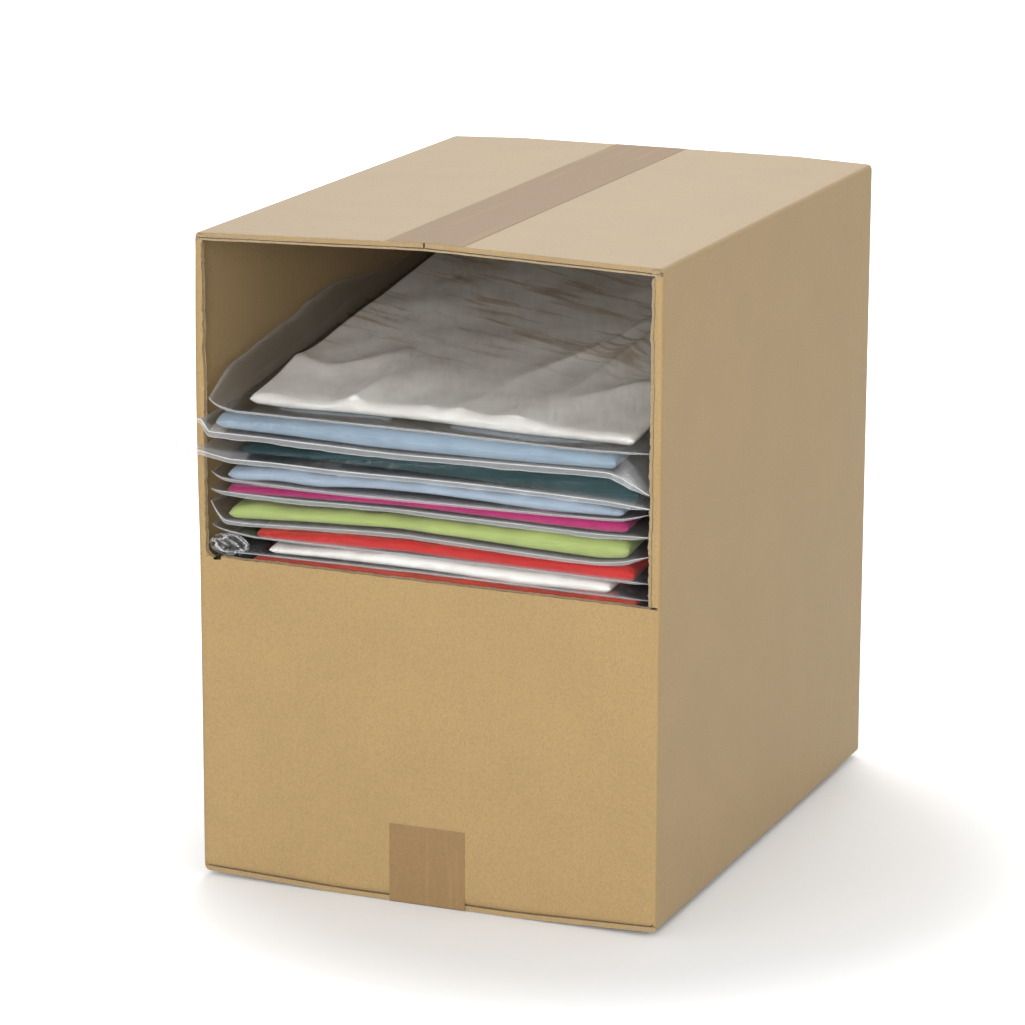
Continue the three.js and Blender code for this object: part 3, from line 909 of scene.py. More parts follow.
@dataclass
class TornFibres:
    """Slivers of torn paper along an edge, grown by a tree of geometry nodes."""

    name: str
    path: np.ndarray
    facing: Triple
    seed: int
    length: float = 1.1
    width: float = 0.22
    spread: float = 0.8

    def build(self, material: bpy.types.Material) -> bpy.types.Object:
        """Return the slivers as a mesh object.

        Args:
            material: The slivers' material.

        Returns:
            The piece.
        """
        piece = MeshKit.place(self.name, MeshKit.make(self.name, self.path, []))
        tree = self._tree(material)
        grower = piece.modifiers.new("fibres", "NODES")
        grower.node_group = tree
        values = {
            "Length": self.length * MM,
            "Width": self.width * MM,
            "Spread": self.spread,
            "Seed": self.seed,
        }
        for item in tree.interface.items_tree:
            if item.item_type == "SOCKET" and item.in_out == "INPUT" and item.name in values:
                grower[item.identifier] = values[item.name]
        MeshKit.settle(piece)
        return piece

    def _tree(self, material: bpy.types.Material) -> bpy.types.NodeTree:
        """Return the tree: a thin cone on each point, turned and sized at random.

        Args:
            material: The slivers' material.

        Returns:
            The tree.
        """
        tree = bpy.data.node_groups.new(f"{self.name}_tree", "GeometryNodeTree")
        sockets = (
            ("Geometry", "INPUT", "NodeSocketGeometry"), ("Length", "INPUT", "NodeSocketFloat"),
            ("Width", "INPUT", "NodeSocketFloat"), ("Spread", "INPUT", "NodeSocketFloat"),
            ("Seed", "INPUT", "NodeSocketInt"), ("Geometry", "OUTPUT", "NodeSocketGeometry"),
        )
        for name, direction, kind in sockets:
            tree.interface.new_socket(name, in_out=direction, socket_type=kind)
        new, link = tree.nodes.new, tree.links.new
        start, end = new("NodeGroupInput"), new("NodeGroupOutput")
        cone = new("GeometryNodeMeshCone")
        cone.inputs["Vertices"].default_value = 4
        cone.inputs["Radius Top"].default_value = 0.0
        link(start.outputs["Width"], cone.inputs["Radius Bottom"])
        link(start.outputs["Length"], cone.inputs["Depth"])
        turn = new("FunctionNodeRandomValue")
        turn.data_type = "FLOAT_VECTOR"
        negative = new("ShaderNodeMath")
        negative.operation = "MULTIPLY"
        negative.inputs[1].default_value = -1.0
        link(start.outputs["Spread"], negative.inputs[0])
        link(negative.outputs[0], turn.inputs["Min"])
        link(start.outputs["Spread"], turn.inputs["Max"])
        link(start.outputs["Seed"], turn.inputs["Seed"])
        facing = new("ShaderNodeVectorMath")
        facing.inputs[1].default_value = self.facing
        link(turn.outputs["Value"], facing.inputs[0])
        size = new("FunctionNodeRandomValue")
        size.data_type = "FLOAT_VECTOR"
        size.inputs["Min"].default_value = (0.5, 0.5, 0.25)
        size.inputs["Max"].default_value = (1.6, 1.2, 1.3)
        link(start.outputs["Seed"], size.inputs["Seed"])
        grow = new("GeometryNodeInstanceOnPoints")
        link(start.outputs["Geometry"], grow.inputs["Points"])
        link(cone.outputs["Mesh"], grow.inputs["Instance"])
        link(facing.outputs[0], grow.inputs["Rotation"])
        link(size.outputs["Value"], grow.inputs["Scale"])
        realize = new("GeometryNodeRealizeInstances")
        link(grow.outputs["Instances"], realize.inputs["Geometry"])
        dress = new("GeometryNodeSetMaterial")
        dress.inputs["Material"].default_value = material
        link(realize.outputs["Geometry"], dress.inputs["Geometry"])
        link(dress.outputs["Geometry"], end.inputs["Geometry"])
        return tree


@dataclass
class Carton:
    """The folded sheet of board: four panels, eight flaps and the torn window."""

    box: BoxFrame
    wardrobe: Wardrobe
    tear_left: float = 206.6
    tear_right: float = 203.9
    strip: float = 5.0
    corner_radius: float = 1.8
    corner_steps: int = 6
    panel_step: float = 9.0
    fine_step: float = 1.6
    row_step: float = 9.0
    flap_inset: float = 1.0
    wall_bow: float = 1.3
    bow_from: float = 200.0
    right_bow: float = 0.5
    rag: float = 0.5
    foot_fillet: float = 4.5
    nick_half_height: float = 0.8
    notch: Pair = (-140.2, -135.2)
    left_nick: Pair = (-149.5, -146.9)
    right_nick: Pair = (144.9, 149.4)
    cut_rag: float = 0.04
    crease_rag: float = 0.3
    torn_setback: float = 0.9
    torn_thickness: float = 1.2
    tab_width: float = 34.0
    tab_inset: float = 12.0
    tab_board: float = 2.0
    tab_taper: float = 10.0

    def build(self) -> None:
        """Build the carton and put it in place of its solid."""
        wardrobe = self.wardrobe
        piece = self._put("carton_board", self._sheet(), 40.0, wardrobe.board, wardrobe.core_shadow)
        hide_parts("carton")
        self._put("torn_top_flap", self._torn_flap(), 40.0, wardrobe.torn_board)
        self._build_edges()
        self._build_fibres()
        self._build_slot_ends()
        self._build_glue_tab()

    def _put(self, name: str, mesh: bpy.types.Mesh, sharp: float, *finishes: Finish) -> bpy.types.Object:
        """Put one piece of board in place.

        Args:
            name: The piece's name.
            mesh: Its mesh.
            sharp: The angle in degrees over which its edges stay sharp.
            *finishes: Its finishes.

        Returns:
            The piece.
        """
        piece = MeshKit.place(name, mesh)
        self.wardrobe.wear(piece, Slot.BOARD, *finishes)
        MeshKit.smooth(piece, sharp)
        LOG.info("%s: %d faces", name, len(mesh.polygons))
        return piece

    def _stretch(self, start: float, stop: float, step: float) -> np.ndarray:
        """Return evenly spread stations from start to stop, about a step apart."""
        count = max(1, round(abs(stop - start) / step))
        return np.linspace(start, stop, count + 1)

    def tear_at(self, x: float) -> float:
        """Return the tear line's height, with its raggedness and its left notch.

        Args:
            x: How far across the front.

        Returns:
            The height.
        """
        level = lerp(self.tear_left, self.tear_right, self.box.across(x))
        if abs(x) > self.box.half_width - self.strip + 0.1:
            return level
        level += self.rag * float(Waves.rough(np.array(x / 2.2), np.array(0.3), 5.0))
        if self.notch[0] < x < self.notch[1]:
            level -= 2.0 * self.nick_half_height
        return level

    def strip_edge(self, side: float, z: float) -> float:
        """Return where a strip beside the window ends, at a height: wider at its foot and ragged.

        Args:
            side: -1 for the left strip, 1 for the right.
            z: The height.

        Returns:
            The edge's x.
        """
        inner = self.box.half_width - self.strip
        tear = self.tear_left if side < 0 else self.tear_right
        above = max(0.0, z - tear)
        fillet = 0.0
        if side < 0 and above < self.foot_fillet:
            fillet = self.foot_fillet * (1.0 - math.sqrt(1.0 - (1.0 - above / self.foot_fillet) ** 2))
        wander = 0.5 * float(Waves.rough(np.array(z / 24.0), np.array(side), 3.0))
        rag = self.rag * float(Waves.rough(np.array(z / 2.6), np.array(side), 9.0)) + wander
        return side * (inner + rag) - side * fillet

    def _columns(self) -> list[dict]:
        """Return the stations round the four panels, from the front's left corner."""
        box, radius = self.box, self.corner_radius
        half_x, half_y = box.half_width, box.half_depth
        flats = [
            ("front", (-half_x + radius, -half_y), (half_x - radius, -half_y), self.fine_step),
            ("right", (half_x, -half_y + radius), (half_x, half_y - radius), self.panel_step),
            ("back", (half_x - radius, half_y), (-half_x + radius, half_y), self.panel_step),
            ("left", (-half_x, half_y - radius), (-half_x, -half_y + radius), self.panel_step),
        ]
        columns, run = [], 0.0
        for index, (name, start, stop, step) in enumerate(flats):
            start_point, stop_point = np.array(start), np.array(stop)
            length = float(np.linalg.norm(stop_point - start_point))
            for distance in self._flat_stations(name, length, step):
                point = lerp(start_point, stop_point, distance / length)
                columns.append({"panel": name, "at": point, "run": run + distance})
            run += length
            heading = (stop_point - start_point) / length
            outward = np.array([heading[1], -heading[0]])
            centre = stop_point - outward * radius
            for turn in range(1, self.corner_steps):
                angle = (math.pi / 2.0) * turn / self.corner_steps
                spoke = outward * math.cos(angle) + heading * math.sin(angle)
                run_here = run + radius * angle
                columns.append({"panel": f"corner{index}", "at": centre + radius * spoke, "run": run_here})
            run += radius * math.pi / 2.0
        return columns

    def _flat_stations(self, name: str, length: float, step: float) -> np.ndarray:
        """Return a panel's stations, with one at each side of the window and of its notch on the front.

        Args:
            name: The panel's name.
            length: Its length.
            step: The stations are about this far apart.

        Returns:
            The distances from its start.
        """
        stations = self._stretch(0.0, length, step)
        if name != "front":
            return stations
        start = self.box.half_width - self.corner_radius
        inner = self.box.half_width - self.strip
        marks = [start - inner, start + inner, start + self.notch[0], start + self.notch[1]]
        marks += [mark + shift for mark in marks[2:] for shift in (-0.15, 0.15)]
        marks += [start - inner - 0.6, start + inner + 0.6]
        kept = [value for value in stations if min(abs(value - mark) for mark in marks) > 0.45]
        return np.array(sorted(kept + marks))

    def _foot_and_head(self, panel: str) -> Pair:
        """Return where a panel's flat stretch starts and ends in height.

        Args:
            panel: The panel's name.

        Returns:
            The two heights.
        """
        box = self.box
        foot = box.crease_level + box.fold_radius
        head = box.top_level - box.fold_radius
        if panel in ("front", "back"):
            return foot + box.minor_drop, head - box.minor_drop
        if panel.startswith("corner"):
            return foot + box.minor_drop / 2.0, head - box.minor_drop / 2.0
        return foot, head

    def _row_shares(self) -> list[float]:
        """Return the panel rows' shares of its height, with rows at the tear."""
        foot, head = self._foot_and_head("front")
        middle = (self.tear_left + self.tear_right) / 2.0
        nick = self.nick_half_height / (head - foot)
        tear = (middle - foot) / (head - foot)
        low = list(np.linspace(0.0, tear - nick, 22))
        self.tear_row = len(low)
        high = list(np.linspace(tear + nick, 1.0, 130))
        return low + [tear] + high

    def _bow(self, panel: str, at: np.ndarray, z: float) -> float:
        """Return how far a wall stands out of its plane.

        Args:
            panel: The panel's name.
            at: The point's x and y.
            z: Its height.

        Returns:
            The distance.
        """
        box = self.box
        if panel == "left":
            nearness = 1.0 - box.backward(at[1])
            rise = np.clip((z - self.bow_from) / (box.top_level - self.bow_from), 0.0, 1.0)
            return float(self.wall_bow * nearness**2 * math.sin(math.pi * rise))
        if panel == "right":
            height = np.clip((z - box.crease_level) / (box.top_level - box.crease_level), 0.0, 1.0)
            along_wall = np.clip(box.backward(at[1]), 0.0, 1.0)
            return self.right_bow * math.sin(math.pi * height) * math.sin(math.pi * along_wall)
        return 0.0

    def _panel_point(self, column: dict, share: float, row: int) -> Triple:
        """Return a point of the panels' outer face.

        Args:
            column: The panels' station.
            share: The share of the panel's height.
            row: The row's number.

        Returns:
            The point.
        """
        panel = column["panel"]
        foot, head = self._foot_and_head(panel)
        x, y = column["at"]
        z = lerp(foot, head, share)
        outward = {"left": -1.0, "right": 1.0}.get(panel, 0.0)
        x = x + outward * self._bow(panel, column["at"], z)
        at_front = panel == "front" or (panel.startswith("corner") and y < 0.0)
        if at_front:
            middle = (self.tear_left + self.tear_right) / 2.0
            closeness = max(0.0, 1.0 - max(0, abs(row - self.tear_row) - 1) / 6.0)
            level = lerp(self.tear_left, self.tear_right, self.box.across(x))
            z += (level - middle) * closeness
            if row == self.tear_row:
                z = self.tear_at(float(x))
        if panel == "front" and row > self.tear_row:
            inner = self.box.half_width - self.strip
            if abs(abs(x) - inner) < 0.05:
                x = self.strip_edge(math.copysign(1.0, x), z)
        return (x, y, z)

    def _flap_rows(self) -> list[Pair]:
        """Return a flap's stations as (run in from the panel's face, share of the fold's height)."""
        radius = self.box.fold_radius
        rows = []
        for step in range(1, self.corner_steps + 1):
            angle = (math.pi / 2.0) * step / self.corner_steps
            rows.append((radius * (1.0 - math.cos(angle)), math.sin(angle)))
        for run in self._stretch(radius, self.box.flap_reach, self.row_step)[1:]:
            rows.append((float(run), 1.0))
        return rows

    def _flap_point(self, column: dict, run: float, rise: float, is_top: bool) -> Triple:
        """Return a point of a flap's outer face.

        Args:
            column: The panels' station.
            run: How far in from the panel's face.
            rise: The share of the fold's height.
            is_top: Whether the flap is a top one.

        Returns:
            The point.
        """
        box = self.box
        panel = column["panel"]
        foot, head = self._foot_and_head(panel)
        x, y = column["at"]
        widen = float(smoothstep(np.array(run / (1.5 * box.fold_radius))))
        if panel in ("left", "right"):
            side = 1.0 if panel == "right" else -1.0
            x = side * (box.half_width - run)
            full = (box.half_depth - self.flap_inset) / (box.half_depth - self.corner_radius)
            y = float(y * lerp(1.0, full, widen))
            drop = 0.0
        else:
            side = 1.0 if panel == "back" else -1.0
            narrow = (box.half_width - box.board - 0.7) / (box.half_width - self.corner_radius)
            x = float(x * lerp(1.0, narrow, min(1.0, run)))
            y = side * (box.half_depth - run)
            drop = box.minor_drop
        if is_top:
            level = box.top_level + float(box.top_crown(np.array(x), np.array(y))) - drop
            return (x, y, head + (level - head) * rise)
        level = box.crease_level - float(box.bottom_drop(np.array(x))) + drop
        return (x, y, foot + (level - foot) * rise)

    def _is_open(self, column: dict, following: dict, row: int) -> bool:
        """Tell whether the cell right of a column and above a row was torn or punched out.

        Args:
            column: The panels' station.
            following: The station after it.
            row: The row's number.

        Returns:
            Whether the cell is open.
        """
        left_x, right_x = column["at"][0], following["at"][0]
        if column["at"][1] > -self.box.half_depth + self.corner_radius - 0.01:
            return False
        inner = self.box.half_width - self.strip
        if row >= self.tear_row and left_x > -inner - 0.05 and right_x < inner + 0.05:
            return True
        if row in (self.tear_row - 1, self.tear_row):
            nicks = (self.left_nick, self.right_nick)
            return any(start < left_x and right_x < stop for start, stop in nicks)
        return False

    def _inner_point(self, panel: str, point: tuple, is_flap: bool) -> Triple:
        """Return the point of the board's inner face behind a point of its outer face.

        Args:
            panel: The panel's name.
            point: The outer point.
            is_flap: Whether it lies on a flap.

        Returns:
            The inner point.
        """
        box = self.box
        x, y, z = point
        side_wall = panel in ("left", "right")
        x_in = math.copysign(min(abs(x), box.half_width - box.board), x)
        y_in = math.copysign(min(abs(y), box.half_depth - box.board), y)
        if side_wall and is_flap:
            y_in = y
        elif side_wall:
            x_in = x - math.copysign(box.board, x)
        drop = 0.0 if side_wall else box.minor_drop
        crown = float(box.top_crown(np.array(x), np.array(y)))
        highest = box.top_level + crown - drop - box.board
        lowest = box.crease_level - float(box.bottom_drop(np.array(x))) + drop + box.board
        return (x_in, y_in, min(max(z, lowest), highest))

    def _outer_points(self) -> tuple[list[dict], dict[tuple[int, int], dict]]:
        """Return the panels' stations and every point of the sheet by its column and row."""
        columns = self._columns()
        shares = self._row_shares()
        self.head_row = len(shares) - 1
        vertices: dict[tuple[int, int], dict] = {}
        for index, column in enumerate(columns):
            for row, share in enumerate(shares):
                point = self._panel_point(column, share, row)
                inner = self._inner_point(column["panel"], point, False)
                vertices[(index, row)] = {"outer": point, "inner": inner, "uv": (column["run"], point[2])}
        for is_top in (True, False):
            for index, column in enumerate(columns):
                panel = column["panel"]
                if panel.startswith("corner") or (panel == "front" and is_top):
                    continue
                for step, (run, rise) in enumerate(self._flap_rows(), start=1):
                    row = self.head_row + step if is_top else -step
                    length = self.box.top_level + run if is_top else -run
                    point = self._flap_point(column, run, rise, is_top)
                    inner = self._inner_point(panel, point, True)
                    vertices[(index, row)] = {"outer": point, "inner": inner, "uv": (column["run"], length)}
        return columns, vertices

    def _sheet(self) -> bpy.types.Mesh:
        """Return the whole folded sheet, with its outer face, its inner face and its bare edges."""
        columns, vertices = self._outer_points()
        last = len(self._flap_rows())
        count = len(columns)
        cells = []
        for index, column in enumerate(columns):
            following = (index + 1) % count
            for row in range(-last, self.head_row + last):
                corners = [(index, row), (following, row), (following, row + 1), (index, row + 1)]
                if any(corner not in vertices for corner in corners):
                    continue
                beyond = row < 0 or row >= self.head_row
                if beyond and column["panel"] != columns[following]["panel"]:
                    continue
                if not beyond and self._is_open(column, columns[following], row):
                    continue
                cells.append(corners)
        used = sorted({corner for cell in cells for corner in cell})
        number = {corner: place for place, corner in enumerate(used)}
        outer = [tuple(number[corner] for corner in cell) for cell in cells]
        inner = [tuple(index + len(used) for index in reversed(face)) for face in outer]
        edges = {(face[i], face[(i + 1) % 4]) for face in outer for i in range(4)}
        rims = [(b, a, a + len(used), b + len(used)) for a, b in sorted(edges) if (b, a) not in edges]
        points = [vertices[corner][side] for side in ("outer", "inner") for corner in used]
        coordinates = np.array([vertices[corner]["uv"] for corner in used] * 2) * MM
        mesh = MeshKit.make("carton_board", np.array(points), outer + inner + rims)
        slots = [0] * (len(outer) + len(inner)) + [1] * len(rims)
        mesh.polygons.foreach_set("material_index", slots[: len(mesh.polygons)])
        MeshKit.write_uv(mesh, "flutes", coordinates)
        MeshKit.weld(mesh)
        return mesh

    def _torn_edge(self, xs: np.ndarray) -> np.ndarray:
        """Return how far behind the front panel's face the torn crease ends.

        Args:
            xs: The points' x.

        Returns:
            The distances.
        """
        fine = Waves.rough(xs / 1.9, np.zeros_like(xs), 31.0)
        wide = Waves.rough(xs / 17.0, np.ones_like(xs), 3.0)
        return self.torn_setback + 0.35 * fine + 0.5 * wide

    def _torn_flap(self) -> bpy.types.Mesh:
        """Return the top flap whose crease was torn from the front panel."""
        box = self.box
        half = box.half_width - box.board - 0.6
        xs = self._stretch(-half, half, 0.8)
        runs = np.concatenate([[0.0, 0.7, 1.5, 4.0, 9.0, 16.0], self._stretch(28.0, box.flap_reach, 15.0)])
        thickness = np.interp(runs, [0.0, 4.0, 16.0], [self.torn_thickness, 2.2, box.board])
        grid_x, grid_run = np.meshgrid(xs, runs)
        fade = np.clip(1.0 - grid_run / 9.0, 0.0, 1.0)
        grid_y = box.front + grid_run + self._torn_edge(xs)[None, :] * fade
        top_z = box.top_level + box.top_crown(grid_x, grid_y) - box.minor_drop
        sag = (0.5 + 0.5 * Waves.rough(grid_x / 21.0, grid_y / 30.0, 8.0)) * 0.7 * fade**3
        top = np.stack([grid_x, grid_y, top_z - sag], axis=-1)
        bottom = top - np.array([0.0, 0.0, 1.0]) * thickness[:, None, None]
        points, faces = MeshKit.closed_slab(top, bottom)
        mesh = MeshKit.make("torn_top_flap", points, faces)
        MeshKit.write_uv(mesh, "flutes", points[:, :2] * MM)
        return mesh

    def _edges(self) -> list[CutEdge]:
        """Return every bare edge of the board that shows."""
        box = self.box
        inner = box.half_width - self.strip
        top_of_strip = self._foot_and_head("front")[1]
        xs = self._stretch(-inner, inner, 0.6)
        tear = np.array([(x, box.front, self.tear_at(float(x))) for x in xs])
        edges = [CutEdge(tear, (0.0, 1.0, 0.0), (0.0, 0.0, 1.0), 51.0, torn=0.25, crosses_flutes=True)]
        for side in (-1.0, 1.0):
            foot = self.tear_left if side < 0 else self.tear_right
            zs = self._stretch(foot + 0.6, top_of_strip, 0.6)
            path = np.array([(self.strip_edge(side, float(z)), box.front, z) for z in zs])
            beyond = (1.3, 2.3) if side > 0 else (0.0, 0.0)
            torn = 0.55 + 0.2 * side
            edges.append(CutEdge(path, (0.0, 1.0, 0.0), (-side, 0.0, 0.0), 53.0 + side, torn, beyond))
        reach = box.half_width - box.fold_radius
        for side in (-1.0, 1.0):
            for out in (-1.0, 1.0):
                across = self._stretch(side * (box.half_width - box.flap_reach), side * reach, 3.0)
                y = out * (box.half_depth - self.flap_inset)
                crown = box.top_level + box.top_crown(across, np.full_like(across, y))
                drop = box.crease_level - box.bottom_drop(across)
                upper = np.stack([across, np.full_like(across, y), crown], axis=-1)
                lower = np.stack([across, np.full_like(across, y), drop], axis=-1)
                seed = 60.0 + 3.0 * side + out
                outward = (0.0, out, 0.0)
                rag = self.cut_rag if out > 0 else self.crease_rag
                edges.append(CutEdge(upper, (0.0, 0.0, -1.0), outward, seed, torn=rag))
                edges.append(CutEdge(lower, (0.0, 0.0, 1.0), outward, seed + 9.0, torn=self.cut_rag))
        return edges

    def _build_edges(self) -> None:
        """Build the plies of the bare edges as one piece."""
        points, faces = MeshKit.joined([ply for edge in self._edges() for ply in edge.plies()])
        mesh = MeshKit.make("board_edges", points, faces)
        MeshKit.face_out(mesh)
        self._put("board_edges", mesh, 30.0, self.wardrobe.torn_board)

    def _build_fibres(self) -> None:
        """Grow slivers along the torn edges."""
        box = self.box
        inner = box.half_width - self.strip
        picks = np.random.default_rng(7)
        material = self.wardrobe.material(self.wardrobe.torn_board)
        xs = picks.uniform(-inner, inner, 260)
        tear = np.array([(x, box.front + picks.uniform(0.0, 3.0), self.tear_at(float(x))) for x in xs])
        zs = picks.uniform(self.tear_left + 1.0, self._foot_and_head("front")[1], 300)
        sides = np.where(picks.uniform(size=300) < 0.5, -1.0, 1.0)
        strips = {
            side: np.array([
                (self.strip_edge(side, float(z)), box.front + picks.uniform(0.0, 3.0), z)
                for z in zs[sides == side]
            ])
            for side in (-1.0, 1.0)
        }
        crease_x = picks.uniform(-inner, inner, 220)
        crease_y = box.front + self._torn_edge(crease_x)
        crease_z = box.top_level + box.top_crown(crease_x, crease_y) - box.minor_drop - 0.6
        crease = np.stack([crease_x, crease_y, crease_z], axis=-1)
        quarter = math.pi / 2.0
        growths = (
            TornFibres("tear_fibres", tear, (0.0, 0.0, 0.0), 3, length=0.9),
            TornFibres("left_strip_fibres", strips[-1.0], (0.0, quarter, 0.0), 5, length=1.0),
            TornFibres("right_strip_fibres", strips[1.0], (0.0, -quarter, 0.0), 7, length=1.0),
            TornFibres("crease_fibres", crease, (quarter, 0.0, 0.0), 9, length=0.9),
        )
        for growth in growths:
            piece = growth.build(material)
            self.wardrobe.wear(piece, Slot.BOARD, self.wardrobe.torn_board)
            LOG.info("%s: %d faces", growth.name, len(piece.data.polygons))

    def _build_glue_tab(self) -> None:
        """Build the maker's joint: the back panel's tab, glued inside the right panel."""
        box = self.box
        face = box.half_width - box.board
        low = box.crease_level + box.minor_drop + self.tab_inset
        high = box.top_level - box.minor_drop - self.tab_inset
        ys = self._stretch(box.back - box.board - self.tab_width, box.back - box.board + 0.2, 4.0)
        shares = np.linspace(0.0, 1.0, 80)
        grid_y, grid_share = np.meshgrid(ys, shares)
        free = np.clip((ys[-1] - grid_y - 8.0) / self.tab_width, 0.0, 1.0)
        grid_z = lerp(low + self.tab_taper * free, high - self.tab_taper * free, grid_share)
        bow = [[self._bow("right", (face, y), z) for y, z in zip(*row)] for row in zip(grid_y, grid_z)]
        outer = np.stack([face + np.array(bow), grid_y, grid_z], axis=-1)
        inner = outer - np.array([self.tab_board, 0.0, 0.0])
        points, faces = MeshKit.closed_slab(outer, inner)
        mesh = MeshKit.make("glue_tab", points, faces)
        MeshKit.face_out(mesh)
        MeshKit.write_uv(mesh, "flutes", points[:, 1:] * MM)
        self._put("glue_tab", mesh, 40.0, self.wardrobe.board)

    def _build_slot_ends(self) -> None:
        """Build the crushed board at the window's upper corners, where its crease was torn off the strips."""
        box = self.box
        bodies = []
        for side in (-1.0, 1.0):
            inner, outer = side * (box.half_width - self.strip), side * (box.half_width - 1.4)
            low, high = self._foot_and_head("front")[1] - 0.5, box.top_level - box.minor_drop + 0.1
            xs = self._stretch(min(inner, outer), max(inner, outer), 0.7)
            zs = self._stretch(low, high, 0.7)
            grid_x, grid_z = np.meshgrid(xs, zs)
            share = (grid_z - low) / (high - low)
            crush = 0.35 * Waves.rough(grid_x / 1.4, grid_z / 1.4, 40.0 + side)
            face = np.stack([grid_x, box.front + 1.6 * share**2 + crush * share, grid_z], axis=-1)
            bodies.append(MeshKit.closed_slab(face, face + np.array([0.0, 1.5, 0.0])))
        box_top = box.top_level - box.minor_drop / 2.0
        for side, radius in ((1.0, 1.25), (-1.0, 0.7)):
            at = np.array([side * (box.half_width - 1.9), box.front - 0.35, box_top])
            curl = at + np.arange(7.0)[:, None] * np.array([-0.8 * side, 0.25, -0.12])
            bodies.append(MeshKit.tube(curl, radius, 12))
        points, faces = MeshKit.joined(bodies)
        mesh = MeshKit.make("crushed_corners", points, faces)
        MeshKit.face_out(mesh)
        MeshKit.write_uv(mesh, "flutes", points[:, :2] * MM)
        self._put("crushed_corners", mesh, 50.0, self.wardrobe.torn_board)


@dataclass
class PackForm:
    """A bagged garment that shows in the window: its place in the stack and its own outline.

    Heights are over the floor at the garment's front fold, and setbacks are behind the front panel's face.
    """

    name: str
    slot: Slot
    level: int
    ends: Pair
    setback: float
    fold_top: Polyline
    fold_bottom: Polyline
    seam: Polyline
    bag_front: Pair
    bag_sides: Pair = (-143.6, 142.8)
    side_lifts: Pair = (0.0, 0.0)
    tip: float = 0.0
    flange: float = 2.6
    bead: float = 0.3
    roll: float = 5.0
    crease_depth: float = 0.6
    crease_size: float = 30.0
    wrinkle: float = 0.3
    seed: float = 1.0
    left_wall: Optional[Polyline] = None
    # How strong the painted brown reflection in its film is.
    painted_reflection: float = 0.0
    margin_veils: Pair = (0.015, 0.015)


